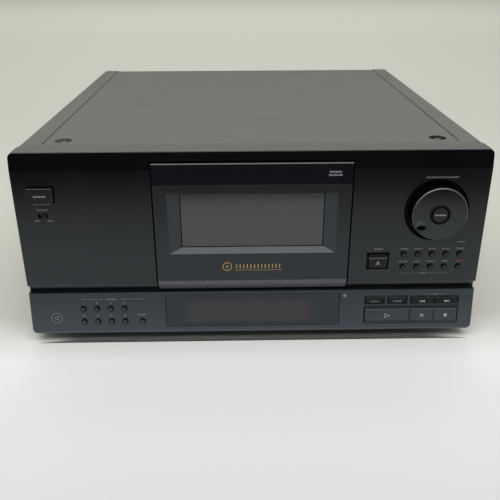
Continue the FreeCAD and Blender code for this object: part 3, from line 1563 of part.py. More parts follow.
def spindle_motor():
    """The flat motor behind the plate that turns the platter."""
    piece = Piece("spindle_motor", -SIDE_OUT, TABLE_Y, PLAY_Z, -90, "y")
    can = CELL.spindle_can
    boss = CELL.spindle_boss
    tall = CELL.spindle_depth + CELL.key_flange
    bore = CELL.spindle_shaft + CELL.hub_clear
    inside = CELL.player_wall - CELL.fit_gap
    piece.revolve([(bore, -inside), (boss, -inside), (boss, 0), (can, 0), (can, tall), (0, tall),
                   (0, CELL.spindle_depth + CELL.key_gap), (bore, CELL.spindle_depth + CELL.key_gap)])


def clamp_ears(piece):
    """Two ears on the right plate and the pin that the clamp arm swings on."""
    z = PLAY_Z + CELL.clamp_rise
    x = SIDE_OUT + CELL.clamp_gap
    boss = CELL.hinge_pin + CELL.hinge_boss / 2
    half = CELL.clamp_width / 2 + CELL.fit_gap
    wall = CELL.player_wall
    for start, end in ((-half - wall, -half), (half, half + wall)):
        piece.pad("XZ", [rect(SIDE_IN, z - boss, x + boss, z + boss)], start, end)
    piece.pad("XZ", [circle(x, z, CELL.hinge_pin)], -half - wall / 2, half + wall / 2)


def clamp_arm():
    """The arm that presses the clamp against the disc, swinging on a pin at its top."""
    z = PLAY_Z + CELL.clamp_rise
    x = SIDE_OUT + CELL.clamp_gap
    piece = Piece("clamp_arm", x, TABLE_Y, z)
    half = CELL.clamp_width / 2
    boss = CELL.hinge_pin + CELL.hinge_boss / 2
    thick = CELL.lever_thick / 2
    drop = CELL.clamp_rise
    puck = CELL.clamp_radius
    piece.pad("XZ", [circle(0, 0, boss)], -half, half)
    piece.pad("XZ", [rect(-thick, -drop, thick, 0)], -half, half)
    piece.pad("YZ", [circle(0, -drop, puck)], CELL.disc_thick + CELL.key_gap - x, thick)
    piece.pocket("XZ", [circle(0, 0, CELL.hinge_pin + CELL.hub_clear)], -half - SPARE, half + SPARE)


def loading_lever():
    """The lever that pushes a disc out of its slot towards the middle."""
    piece = Piece("loading_lever", 0, LEVER_Y, LEVER_Z)
    half = CELL.lever_thick / 2
    boss = CELL.lever_boss
    length = CELL.lever_length
    tip = boss * CELL.lever_taper
    piece.pad("YZ", [poly((-boss, 0), (boss, 0), (tip, -length), (-tip, -length))], -half, half)
    piece.pad("YZ", [circle(0, 0, boss)], -half, half)
    piece.pad("YZ", [circle(0, -length, boss)], -half, half)
    piece.pocket("YZ", [circle(0, 0, CELL.hinge_pin + CELL.hub_clear)], -half - SPARE, half + SPARE)


# ---------------------------------------------------------------- electrical parts


def power_transformer():
    """The mains transformer: a laminated core with its winding, on the pan."""
    piece = Piece("power_transformer", CELL.transformer_x, CELL.transformer_y, PAN_FLOOR)
    wide = CELL.transformer_width
    deep = CELL.transformer_depth / 2
    tall = CELL.transformer_height
    coil = CELL.coil_proud
    piece.pad("XZ", [block(0, tall / 2, wide, tall)], -deep, deep)
    piece.pad("XZ", [block(0, tall / 2, wide / 2, tall - coil * 2)], -deep - coil, deep + coil)


def main_board():
    """The main board in the rear left corner, cut back round the table, on four pillars."""
    edge = PAN_HALF - CELL.sheet - CELL.board_margin
    back = REAR_BACK - CELL.sheet - CELL.fit_gap
    piece = Piece("main_board", -edge, back, PAN_FLOOR)
    side = CELL.board_width
    rise = CELL.pillar_height
    thick = CELL.board_thick
    piece.pad("XY", [poly((0, 0), (0, -side), (side, 0))], rise, rise + thick)
    third = side / 3
    inset = CELL.pillar_inset
    spots = [(inset, -inset), (side - third, -inset), (inset, third - side)]
    piece.pad("XY", [circle(x, y, CELL.key_radius) for x, y in spots], 0, rise)
    chip = third / 2
    piece.pad("XY", [block(third, -third, chip * 2, chip * 2)], rise + thick,
              rise + thick + CELL.chip_height)


# ---------------------------------------------------------------- building and writing


def build():
    for make in (top_cover, cover_screws, feet, chassis_pan, rear_panel, front_panel,
                 display_window, display_tube, control_board, selector_board, door_panel,
                 door_window, door_strip, round_keys, flat_keys, power_button,
                 timer_switch_knob, eject_button, jog_dial, enter_button, rotary_table,
                 table_base, table_motor, table_pinion, mech_frame, optical_pickup,
                 disc_turntable, spindle_motor, clamp_arm, loading_lever, power_transformer,
                 main_board, line_out_jacks, control_jacks, cord_gland):
        make()
    DOC.recompute()


def check():
    """Stops if any object failed or any piece has no valid shape."""
    for obj in DOC.Objects:
        failed = [word for word in obj.State if word in ("Invalid", "Error")]
        if failed:
            raise RuntimeError(f"{obj.Label}: {failed}")
    for piece in PIECES:
        if piece.Shape.isNull() or not piece.Shape.isValid():
            raise RuntimeError(f"{piece.Label}: no valid shape")


def write():
    os.makedirs("parts", exist_ok=True)
    for piece in PIECES:
        piece.Shape.exportStep(f"parts/{piece.Label}.step")
    print(len(PIECES), "sub-parts written")


build()
check()
write()
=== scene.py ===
"""Looks of the hundred-disc changer: finishes, printed marks, floor, light and camera."""

import json
import math

import bmesh
import bpy
from mathutils import Matrix, Vector


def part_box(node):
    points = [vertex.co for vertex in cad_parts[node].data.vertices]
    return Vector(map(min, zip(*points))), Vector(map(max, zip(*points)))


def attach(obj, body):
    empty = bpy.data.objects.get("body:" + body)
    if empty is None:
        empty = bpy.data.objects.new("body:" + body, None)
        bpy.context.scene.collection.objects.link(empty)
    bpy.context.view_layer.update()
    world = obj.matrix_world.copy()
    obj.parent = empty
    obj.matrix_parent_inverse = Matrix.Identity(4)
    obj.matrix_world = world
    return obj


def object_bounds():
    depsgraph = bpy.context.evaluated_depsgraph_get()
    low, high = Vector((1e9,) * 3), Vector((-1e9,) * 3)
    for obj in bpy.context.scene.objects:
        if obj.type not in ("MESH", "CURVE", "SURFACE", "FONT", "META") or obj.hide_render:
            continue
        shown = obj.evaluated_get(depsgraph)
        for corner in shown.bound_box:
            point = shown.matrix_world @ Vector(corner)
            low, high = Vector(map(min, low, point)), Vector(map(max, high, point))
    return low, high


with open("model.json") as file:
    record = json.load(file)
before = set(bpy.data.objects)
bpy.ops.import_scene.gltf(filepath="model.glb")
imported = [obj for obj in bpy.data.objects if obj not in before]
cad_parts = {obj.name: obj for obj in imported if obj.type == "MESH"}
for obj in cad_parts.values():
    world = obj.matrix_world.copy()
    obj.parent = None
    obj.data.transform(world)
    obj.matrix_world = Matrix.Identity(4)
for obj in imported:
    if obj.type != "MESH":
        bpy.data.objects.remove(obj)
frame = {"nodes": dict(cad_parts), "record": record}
cad_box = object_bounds()

# Lengths are in mm in the part's frame, unless a name or a comment says metres.
MM = 0.001


def middle(name):
    """The middle of a node at rest, as its x and z."""
    low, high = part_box(name)
    return tuple((low[axis] + high[axis]) / 2 / MM for axis in (0, 2))


# Places that the frame gives.
FRONT_MOST = cad_box[0][1] / MM
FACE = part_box("door_panel")[0][1] / MM    # y of the door, flush with the upper front face
DIAL_X, DIAL_Z = middle("jog_dial")
MODE_X, MODE_HIGH = middle("mode_button_1")
MODE_LOW = middle("mode_button_6")[1]
KEY_PITCH = middle("mode_button_2")[0] - MODE_X

# Shapes of the part that a node's box doesn't show.
CHIN = 5.0                          # how far the foot of the lower face leans forward
LOWER_TOP = 51.6
LOWER_HEIGHT = 42.1
KEY_PROUD = 0.8                     # how far the flat keys stand out
DIMPLE_X, DIMPLE_Y = 176.0, -176.6
FIELD_HALF, FIELD_FRONT = 196.0, -193.6   # the sunk field of the cover
COVER_EDGE = (-219.5, -217.2)       # the cover's front edge, from y to y
DOOR_FRAME_HALF = 80.0              # holds the sloped frame of the door's window
TUBE_X, TUBE_Z = (-62, 57), (21.3, 41.8)  # where the tube shows through the display's pane

# Heights in metres of the painted reflection on the lower front face: where it starts, how it fades
# towards the top, and where a painted highlight runs along the bottom edge.
FOOT_REFLECTION_JOIN = (0.0505, 0.0520)
FOOT_REFLECTION_FADE = (0.012, 0.042)
RIM_HIGHLIGHT_JOIN = (0.0108, 0.0124)


# ---------------------------------------------------------------- shader nodes


def linear(*values):
    """A linear colour from 0 to 255 display values."""
    tones = []
    for value in values:
        share = value / 255
        tones.append(share / 12.92 if share < 0.04045 else ((share + 0.055) / 1.055) ** 2.4)
    return (*tones, 1.0)


def tint(colour, share):
    """The same colour, lighter or darker."""
    return (*(min(1.0, tone * share) for tone in colour[:3]), 1.0)


def feed(tree, socket, value):
    """Joins a socket to an input, or stores a plain value there."""
    if isinstance(value, bpy.types.NodeSocket):
        tree.links.new(value, socket)
    else:
        socket.default_value = value


def add(tree, kind, **settings):
    """A node with its inputs fed. A name that starts with _ is a property of the node."""
    node = tree.nodes.new(kind)
    for key, value in settings.items():
        if key.startswith("_"):
            setattr(node, key[1:], value)
        else:
            feed(tree, node.inputs[key], value)
    return node


def noise(tree, where, scale, detail=3.0):
    """Noise over the piece, in cycles per metre."""
    node = add(tree, "ShaderNodeTexNoise", Vector=where, Scale=scale, Detail=detail, Roughness=0.6)
    return node.outputs["Fac"]


def spread(tree, value, low, high, start=0.3, end=0.7):
    """Takes a value from start and end to low and high, and holds it between them."""
    limits = {"From Min": start, "From Max": end, "To Min": low, "To Max": high}
    return add(tree, "ShaderNodeMapRange", _clamp=True, Value=value, **limits).outputs["Result"]


def blend(tree, factor, first, second):
    """A mix of two colours."""
    node = add(tree, "ShaderNodeMix", _data_type="RGBA")
    for number, value in ((0, factor), (6, first), (7, second)):
        feed(tree, node.inputs[number], value)
    return node.outputs[2]


def multiply(tree, first, second):
    """The product of two masks."""
    node = add(tree, "ShaderNodeMath", _operation="MULTIPLY")
    feed(tree, node.inputs[0], first)
    feed(tree, node.inputs[1], second)
    return node.outputs[0]


def coordinate(tree, axis, kind="Object"):
    """One axis of the place, or of the normal, in the piece's own frame."""
    where = add(tree, "ShaderNodeTexCoord").outputs[kind]
    return add(tree, "ShaderNodeSeparateXYZ", Vector=where).outputs[axis]


# ---------------------------------------------------------------- finishes and masks


def fresh(name):
    """A new material, its tree and its shader."""
    material = bpy.data.materials.new(name)
    material.use_nodes = True
    return material, material.node_tree, material.node_tree.nodes["Principled BSDF"]


def finish(name, colour, rough, vary=0.12, patch=18.0, grain=2500.0, depth=0.02, swing=0.06,
           edge=0.0, dust=0.0, foot=None, painted_up_highlight=None, painted_down_reflection=None, **shader):
    """A finish with patchy colour and gloss, a fine grain, soft edges and settled dust.

    foot is a painted reflection of the floor on the lower face, lighter towards the bottom,
    with a painted highlight along its bottom edge. The tones where the surface turns up and
    down are a painted highlight and a painted reflection. Any other name sets an input of
    the shader.
    """
    material, tree, surface = fresh(name)
    where = add(tree, "ShaderNodeTexCoord").outputs["Object"]
    patches = noise(tree, where, patch, 4.0)
    coat = blend(tree, patches, tint(colour, 1 - vary), tint(colour, 1 + vary))
    # Painted reflection of the floor on the lower face, lighter towards the bottom, with a painted
    # highlight along the bottom edge.
    if foot:
        height = coordinate(tree, "Z")
        foot_reflection = blend(tree, spread(tree, height, 0.0, 1.0, *FOOT_REFLECTION_FADE), tint(foot, 1.9), foot)
        foot_reflection = blend(tree, spread(tree, height, 1.0, 0.0, *RIM_HIGHLIGHT_JOIN), foot_reflection, tint(foot, 4.2))
        coat = blend(tree, spread(tree, height, 1.0, 0.0, *FOOT_REFLECTION_JOIN), coat, foot_reflection)
    # Painted highlight where the surface turns up.
    if painted_up_highlight:
        facing = coordinate(tree, "Z", "Normal")
        coat = blend(tree, spread(tree, facing, 0.0, 1.0, 0.15, 0.35), coat, painted_up_highlight)
    # Painted reflection of the floor where the surface turns down.
    if painted_down_reflection:
        facing = coordinate(tree, "Z", "Normal")
        coat = blend(tree, spread(tree, facing, 1.0, 0.0, -0.35, -0.15), coat, painted_down_reflection)
    fine = noise(tree, where, grain, 2.0)
    coat = blend(tree, spread(tree, fine, 0.0, 0.5), coat, tint(colour, 1 + 2.2 * vary))
    if dust:
        specks = spread(tree, noise(tree, where, 520.0, 1.0), 0.0, dust, 0.70, 0.76)
        coat = blend(tree, specks, coat, linear(150, 150, 145))
    tree.links.new(coat, surface.inputs["Base Color"])
    gloss = spread(tree, patches, rough - swing, rough + swing)
    tree.links.new(gloss, surface.inputs["Roughness"])
    bump = add(tree, "ShaderNodeBump", Strength=1.0, Distance=depth * MM, Height=fine)
    if edge:
        soft = add(tree, "ShaderNodeBevel", _samples=4, Radius=edge * MM)
        tree.links.new(soft.outputs[0], bump.inputs["Normal"])
    tree.links.new(bump.outputs[0], surface.inputs["Normal"])
    for key, value in shader.items():
        surface.inputs[key.replace("_", " ")].default_value = value
    return material


def between(tree, value, low, high, soft):
    """A mask that is 1 where a value in metres lies between two in mm."""
    rise = spread(tree, value, 0.0, 1.0, (low - soft / 2) * MM, (low + soft / 2) * MM)
    fall = spread(tree, value, 1.0, 0.0, (high - soft / 2) * MM, (high + soft / 2) * MM)
    return multiply(tree, rise, fall)


def within(material, axis, low, high, soft=0.3):
    """A mask that is 1 between two places along an axis of the piece."""
    tree = material.node_tree
    return between(tree, coordinate(tree, axis), low, high, soft)


def around(material, drop, centre, low, high, soft=0.3):
    """A mask that is 1 between two distances from a line along the dropped axis."""
    tree = material.node_tree
    flat = add(tree, "ShaderNodeVectorMath", _operation="MULTIPLY")
    feed(tree, flat.inputs[0], add(tree, "ShaderNodeTexCoord").outputs["Object"])
    feed(tree, flat.inputs[1], [0.0 if axis == drop else 1.0 for axis in "XYZ"])
    away = add(tree, "ShaderNodeVectorMath", _operation="DISTANCE")
    feed(tree, away.inputs[0], flat.outputs[0])
    feed(tree, away.inputs[1], [place * MM for place in centre])
    return between(tree, away.outputs["Value"], low, high, soft)


def turned(material, axis, start, end):
    """A mask that grows as the surface's normal goes from start to end along an axis."""
    tree = material.node_tree
    return spread(tree, coordinate(tree, axis, "Normal"), 0.0, 1.0, start, end)


def overlap(material, *masks):
    """A mask of what all these masks cover."""
    shared = masks[0]
    for mask in masks[1:]:
        shared = multiply(material.node_tree, shared, mask)
    return shared


def layer(material, mask, colour, rough=None, shine=None):
    """Lays another colour, and another gloss and shine where asked, over a finish."""
    tree = material.node_tree
    inputs = tree.nodes["Principled BSDF"].inputs
    below = inputs["Base Color"].links[0].from_socket
    tree.links.new(blend(tree, mask, below, colour), inputs["Base Color"])
    if rough is not None:
        below = inputs["Roughness"].links[0].from_socket
        node = add(tree, "ShaderNodeMix")
        for number, value in ((0, mask), (2, below), (3, rough)):
            feed(tree, node.inputs[number], value)
        tree.links.new(node.outputs[0], inputs["Roughness"])
    if shine is not None:
        plain = inputs["Specular IOR Level"].default_value
        tree.links.new(spread(tree, mask, plain, shine, 0.0, 1.0), inputs["Specular IOR Level"])


COOL = (0.86, 0.93, 1.0, 1.0)
# The lower face's tone is a painted reflection of the bright floor, lighter than the upper face.
PAINTED_LOWER_REFLECTION = linear(40, 46, 52)
# Black of painted shade, for sides, gaps and recesses that fall into shade.
PAINTED_SHADE = linear(3, 3, 4)
FINE = {"grain": 3000, "depth": 0.006}
SLOTS = {
    "cover_steel": finish("cover_paint", linear(91, 91, 85), 0.42, vary=0.08, grain=1800,
                          depth=0.03, edge=0.25, dust=0.25),
    "zinc_steel": finish("zinc_plate", linear(165, 165, 160), 0.38, vary=0.08, patch=60,
                         Metallic=1.0),
    "black_steel": finish("black_paint", linear(42, 42, 43), 0.45, grain=1800, depth=0.03,
                          edge=0.4),
    "screw_steel": finish("black_zinc", linear(50, 49, 50), 0.35, Metallic=0.9, edge=0.15),
    # The front and the door carry painted reflections on faces turned down, and the door a painted
    # highlight on faces turned up.
    "front_plastic": finish("front_plastic", linear(9, 11, 13), 0.18, vary=0.10, **FINE,
                            swing=0.03, edge=0.5, dust=0.03, foot=PAINTED_LOWER_REFLECTION,
                            painted_down_reflection=linear(96, 102, 110), IOR=1.55, Specular_Tint=COOL),
    "foot_plastic": finish("foot_rubber", linear(38, 38, 38), 0.7, depth=0.04, edge=0.5),
    "door_plastic": finish("door_plastic", linear(15, 17, 19), 0.27, vary=0.10, **FINE,
                           swing=0.03, edge=0.4, dust=0.03, painted_up_highlight=linear(50, 50, 50),
                           painted_down_reflection=linear(94, 95, 100), IOR=1.58, Specular_Tint=COOL),
    "gloss_black": finish("gloss_black", linear(16, 18, 23), 0.08, vary=0.05, depth=0.002,
                          swing=0.02, edge=0.3, dust=0.05, Coat_Weight=0.5, Coat_Roughness=0.04),
    # The smoked pane's light grey is partly its own smoke tint and partly a painted reflection.
    "smoked_window": finish("smoked_pane_painted_reflection", linear(83, 83, 83), 0.18, vary=0.02, depth=0.001,
                            swing=0.02, IOR=1.30),
    "display_tint": finish("display_pane", linear(40, 45, 50), 0.16, vary=0.03, depth=0.001,
                           swing=0.02, edge=0.3, Transmission_Weight=0.35, IOR=1.52,
                           Specular_Tint=COOL),
    "display_glass": finish("display_filter", linear(110, 58, 52), 0.2, vary=0.1, depth=0.002),
    "board": finish("board", linear(52, 88, 44), 0.45, vary=0.2, patch=150),
    "key_plastic": finish("key_plastic", linear(16, 18, 21), 0.26, vary=0.08, **FINE,
                          swing=0.03, edge=0.25, foot=PAINTED_LOWER_REFLECTION, IOR=1.52, Specular_Tint=COOL),
    "dial_plastic": finish("dial_plastic", linear(4, 5, 6), 0.10, vary=0.08, grain=3000,
                           depth=0.005, swing=0.03, edge=0.35, IOR=1.68, Specular_Tint=COOL),
    "table_plastic": finish("table_plastic", linear(34, 34, 35), 0.42, depth=0.02),
    "base_plastic": finish("base_plastic", linear(58, 58, 58), 0.5, depth=0.02),
    "gear_plastic": finish("gear_acetal", linear(226, 224, 214), 0.38, vary=0.04),
    "motor_steel": finish("motor_can", linear(170, 170, 168), 0.3, vary=0.08, Metallic=1.0),
    "mech_plastic": finish("mech_plastic", linear(60, 60, 62), 0.45, depth=0.02),
    "turntable_plastic": finish("grey_moulding", linear(150, 150, 152), 0.42, vary=0.05),
    "core_steel": finish("core_lacquer", linear(96, 74, 58), 0.35, vary=0.2, patch=80,
                         Metallic=0.4),
    "jack_plastic": finish("jack_block", linear(34, 34, 34), 0.4),
    "gland_plastic": finish("gland_rubber", linear(30, 30, 30), 0.55),
}

# The dial: painted shade blackens its side, and a painted highlight lights the edge of its face
# over the upper half.
DIAL = SLOTS["dial_plastic"]
DIAL_CENTRE = (DIAL_X, 0, DIAL_Z)
layer(DIAL, turned(DIAL, "Y", -0.35, -0.10), PAINTED_SHADE, 0.6, shine=0.04)
rim_highlight = overlap(DIAL, turned(DIAL, "Y", -0.97, -0.85), turned(DIAL, "Y", -0.35, -0.5),
              around(DIAL, "Y", DIAL_CENTRE, 24.0, 26.0), turned(DIAL, "Z", 0.05, 0.30))
layer(DIAL, rim_highlight, linear(84, 87, 90), 0.4)

# The display: the tube's reddish filter shows faintly through the pane.
PANE = SLOTS["display_tint"]
tube = overlap(PANE, within(PANE, "X", *TUBE_X, 5.0), within(PANE, "Z", *TUBE_Z, 2.5))
layer(PANE, tube, linear(64, 54, 58))

# The door: a painted highlight makes the sloped sides of its window lighter than its face.
DOOR = SLOTS["door_plastic"]
for start, end in ((0.25, 0.40), (-0.25, -0.40)):
    jamb_highlight = overlap(DOOR, turned(DOOR, "X", start, end),
                   within(DOOR, "X", -DOOR_FRAME_HALF, DOOR_FRAME_HALF))
    layer(DOOR, jamb_highlight, linear(33, 35, 38))

# The cover: painted shade on the slopes round the field and in the dimples, a darker strip in front
# of the field, a lighter band along its front edge, and faint blotches.
COVER = SLOTS["cover_steel"]
shaded_slope = overlap(COVER, turned(COVER, "Z", 0.5, 0.7), turned(COVER, "Z", 0.985, 0.965),
                within(COVER, "X", -FIELD_HALF, FIELD_HALF))
layer(COVER, shaded_slope, linear(52, 52, 49), 0.5)
for x in (-DIMPLE_X, DIMPLE_X):
    dimple_shade = around(COVER, "Z", (x, DIMPLE_Y, 0), 3.0, 8.3, 0.6)
    layer(COVER, dimple_shade, linear(10, 10, 10), 0.6, shine=0.1)
for span, tone in (((FRONT_MOST, FIELD_FRONT), linear(83, 83, 77)),
                   (COVER_EDGE, linear(104, 104, 98))):
    strip = overlap(COVER, turned(COVER, "Z", 0.97, 0.99), within(COVER, "Y", *span, 0.6))
    layer(COVER, strip, tone)
where = add(COVER.node_tree, "ShaderNodeTexCoord").outputs["Object"]
for scale, start, end, tone in ((42.0, 0.60, 0.75, linear(110, 110, 104)),
                                (27.0, 0.42, 0.28, linear(78, 78, 73))):
    blotches = noise(COVER.node_tree, where, scale, 7.0)
    layer(COVER, spread(COVER.node_tree, blotches, 0.0, 0.6, start, end), tone, 0.48)

# The eject button: a grey face with a painted highlight along its upper edge, and black painted
# shade above and below.
EJECT = finish("eject_plastic", linear(26, 28, 30), 0.4, **FINE, edge=0.25,
               Specular_IOR_Level=0.2)
layer(EJECT, within(EJECT, "Z", 85.5, 86.3, 0.2), linear(80, 82, 84))
for low, high in ((86.2, 99.0), (60.0, 75.6)):
    layer(EJECT, within(EJECT, "Z", low, high), PAINTED_SHADE, 0.7)

# The round keys take the lower face's painted reflection, and painted shade blackens their sides.
ROUND = finish("round_key", linear(11, 12, 14), 0.30, **FINE, edge=0.2, foot=PAINTED_LOWER_REFLECTION,
               IOR=1.50, Specular_Tint=COOL)
layer(ROUND, turned(ROUND, "Y", -0.94, -0.78), PAINTED_SHADE, 0.7, shine=0.1)

ENTER = finish("enter_key", linear(16, 18, 21), 0.26, vary=0.08, **FINE, swing=0.03,
               edge=0.25, IOR=1.52, Specular_Tint=COOL)
# Painted shade blackens a ring round the edge of the enter key.
layer(ENTER, around(ENTER, "Y", DIAL_CENTRE, 6.9, 9.0), PAINTED_SHADE, 0.7, shine=0.04)

SMALL = finish("small_key", linear(15, 17, 19), 0.34, **FINE, edge=0.2, IOR=1.36,
               Specular_Tint=COOL)

PRINT = finish("print_grey", linear(165, 168, 168), 0.5, vary=0.06, patch=300)
PRINT_DIM = finish("print_dim", linear(134, 136, 138), 0.5, vary=0.08, patch=300)
PRINT_RED = finish("print_red", linear(160, 72, 64), 0.5, vary=0.06, patch=300)
PRINT_GOLD = finish("print_gold", linear(196, 160, 96), 0.38, vary=0.10, patch=400, Metallic=0.3)
# Dark lines of painted shade in gaps round openings and keys and in the dial's well.
SHADE_LINE = finish("painted_shade_line", linear(4, 5, 6), 0.7, vary=0.2, patch=300, Specular_IOR_Level=0.15)
LENS = finish("sensor_lens", linear(118, 112, 92), 0.25, vary=0.08, patch=500, Coat_Weight=0.5)
LAMP = finish("lamp_lens", linear(30, 22, 20), 0.18, vary=0.08, patch=500, Coat_Weight=0.5)

SMALL_KEYS = ("time_key", "repeat_key", "skip_back_key", "skip_forward_key")
ROUND_KEYS = [name for name in frame["nodes"] if name.startswith(("mode_button", "group_"))]
LOOKS = {"eject_button": EJECT, "enter_button": ENTER, **dict.fromkeys(ROUND_KEYS, ROUND),
         **dict.fromkeys(SMALL_KEYS, SMALL)}
slots = {row["node"]: row["material_slot"] for row in frame["record"]["subparts"]}
for name, node in frame["nodes"].items():
    for place in node.material_slots:
        place.material = LOOKS.get(name, SLOTS[slots[name]])


# ---------------------------------------------------------------- faces and pieces


INK = 0.06                          # how far a print stands out from what carries it
SINK = 0.02                         # how far its walls go in
FIGURE_SHARE = 0.7                  # height of a figure as a share of its font's size


def front_of(name):
    """Maps (x, z, rise) onto the upright front of a node."""
    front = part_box(name)[0][1] / MM
    return lambda x, z, rise: Vector((x, front - rise, z)) * MM


def lower(out=0.0):
    """The same onto the lower face, whose foot leans forward, or out from it."""
    lean = math.atan(CHIN / LOWER_HEIGHT)

    def at(x, z, rise):
        back = -CHIN * (LOWER_TOP - z) / LOWER_HEIGHT
        push = out + rise
        return Vector((x, FACE + back - push * math.cos(lean), z - push * math.sin(lean))) * MM

    return at


def fix(name, mesh, material, body):
    """Makes a piece of a mesh and rides it on a body."""
    piece = bpy.data.objects.new(name, mesh)
    bpy.context.collection.objects.link(piece)
    mesh.materials.append(material)
    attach(piece, body)


def settle(name, shape):
    """A mesh of a finished shape, with every face turned outwards."""
    bmesh.ops.recalc_face_normals(shape, faces=shape.faces)
    mesh = bpy.data.meshes.new(name)
    shape.to_mesh(mesh)
    shape.free()
    return mesh


def skin(shape, first, second):
    """Faces between two loops of vertices of one length."""
    for number in range(len(first)):
        after = (number + 1) % len(first)
        shape.faces.new((first[number], first[after], second[after], second[number]))


def printed(name, outlines, at, body, material, rise=INK):
    """Ink or a label: each outline raised a little from the face that carries it."""
    shape = bmesh.new()
    for outline in outlines:
        low = [shape.verts.new(at(x, z, -SINK)) for x, z in outline]
        high = [shape.verts.new(at(x, z, rise)) for x, z in outline]
        shape.faces.new(high)
        skin(shape, low, high)
    bmesh.ops.remove_doubles(shape, verts=shape.verts, dist=1e-7)
    fix(name, settle(name, shape), material, body)


def sweep(name, rings, at, body, material, closed=True):
    """A skin over rings of (x, z, rise) points, closed over its last ring."""
    shape = bmesh.new()
    loops = [[shape.verts.new(at(*point)) for point in loop] for loop in rings]
    for first, second in zip(loops, loops[1:]):
        skin(shape, first, second)
    if closed:
        shape.faces.new(loops[-1])
    mesh = settle(name, shape)
    mesh.polygons.foreach_set("use_smooth", [True] * len(mesh.polygons))
    fix(name, mesh, material, body)


def numeral(name, text, x, z, height, at, body):
    """A printed number, drawn with the built-in font and laid on its face."""
    curve = bpy.data.curves.new(name, "FONT")
    curve.body = text
    curve.size = height * MM / FIGURE_SHARE
    curve.align_x = "CENTER"
    curve.align_y = "CENTER"
    curve.extrude = INK / 2 * MM
    lettering = bpy.data.objects.new(name, curve)
    bpy.context.collection.objects.link(lettering)
    bpy.context.view_layer.update()
    shape = lettering.evaluated_get(bpy.context.evaluated_depsgraph_get())
    mesh = bpy.data.meshes.new_from_object(shape)
    for corner in mesh.vertices:
        u, v, w = corner.co / MM
        corner.co = at(x + u, z + v, w + INK / 2)
    bpy.data.objects.remove(lettering)
    mesh.materials.clear()
    fix(name, mesh, PRINT, body)


# ---------------------------------------------------------------- outlines


def bar(x0, z0, x1, z1):
    """A rectangle between two corners."""
    return [(x0, z0), (x1, z0), (x1, z1), (x0, z1)]


def dash(x, z, width, height):
    """A rectangle round its middle."""
    return bar(x - width / 2, z - height / 2, x + width / 2, z + height / 2)


def ring(x, z, outer, inner, count=32):
    """A ring as its sectors, so that each outline stays convex."""
    sectors = []
    for step in range(count):
        angles = (2 * math.pi * step / count, 2 * math.pi * (step + 1) / count)
        corners = [(radius, angle) for radius, pair in ((outer, angles), (inner, angles[::-1]))
                   for angle in pair]
        sectors.append([(x + r * math.cos(a), z + r * math.sin(a)) for r, a in corners])
    return sectors


def label(x, z, width, height=1.25):
    """Plain blocks, too small to read, that stand for a line of small print."""
    step = height * 0.82
    count = max(2, round(width / step))
    first = x - step * (count - 1) / 2
    shares = (0.40, 0.54, 0.46)
    return [dash(first + step * k, z, step * shares[k % 3], height) for k in range(count)]


def labels(rows, height=1.25):
    """Several lines of small print, each from its middle and width."""
    return [block for row in rows for block in label(*row, height)]


def outline_of(points, width):
    """The sides of a small figure as bars of one width."""
    bars = []
    for number, (x0, z0) in enumerate(points):
        x1, z1 = points[(number + 1) % len(points)]
        run = math.hypot(x1 - x0, z1 - z0)
        du, dv = (x1 - x0) / run * width / 2, (z1 - z0) / run * width / 2
        bars.append([(x0 - du + dv, z0 - dv - du), (x1 + du + dv, z1 + dv - du),
                     (x1 + du - dv, z1 + dv + du), (x0 - du - dv, z0 - dv + du)])
    return bars


def frame_lines(x0, z0, x1, z1, left, right, top, foot):
    """Dark bars of painted shade round an opening, where the wall turns in."""
    return [bar(x0 - left, z0 - foot, x0, z1 + top), bar(x1, z0 - foot, x1 + right, z1 + top),
            bar(x0, z1, x1, z1 + top), bar(x0, z0 - foot, x1, z0)]


def round_loop(x, z, radius, rise, count=24):
    """A circle as one loop of points."""
    turns = [2 * math.pi * step / count for step in range(count)]
    return [(x + radius * math.cos(turn), z + radius * math.sin(turn), rise) for turn in turns]


def square_loop(x, z, side, corner, rise):
    """A square with round corners, as one loop of points."""
    points = []
    for signs, begin in (((1, 1), 0), ((-1, 1), 90), ((-1, -1), 180), ((1, -1), 270)):
        for step in range(4):
            turn = math.radians(begin + step * 30)
            points.append((x + signs[0] * (side / 2 - corner) + corner * math.cos(turn),
                           z + signs[1] * (side / 2 - corner) + corner * math.sin(turn), rise))
    return points


# ---------------------------------------------------------------- printed marks

upper = front_of("door_panel")            # the door is flush with the upper front face
NUMERAL_LIFT, MODE_LIFT = 6.366, 5.6      # from the middle of a key up to its print
for number in range(1, 9):
    x, z = middle(f"group_button_{number}")
    numeral(f"numeral_{number}", str(number), x, z + NUMERAL_LIFT, 1.7, lower(), "cabinet")

DISC_MARK = (-190.1, 26.2)
group_print = [bar(-165.3, 44.75, -144.0, 44.95), bar(-128.0, 44.75, -106.0, 44.95)]
group_print += labels([(-136.2, 44.9, 10.5), (-107.8, 28.6, 8.5)])
skip_print = [bar(166.0, 46.2, 173.5, 46.35), bar(180.5, 46.2, 188.0, 46.35)]
skip_print += label(177.0, 46.3, 4.5, 1.0)
for name, outlines in (("group_print", group_print),
                       ("disc_print", ring(*DISC_MARK, 5.2, 4.8) + ring(*DISC_MARK, 1.7, 1.3)),
                       ("skip_print", skip_print)):
    printed(name, outlines, lower(), "cabinet", PRINT_DIM)

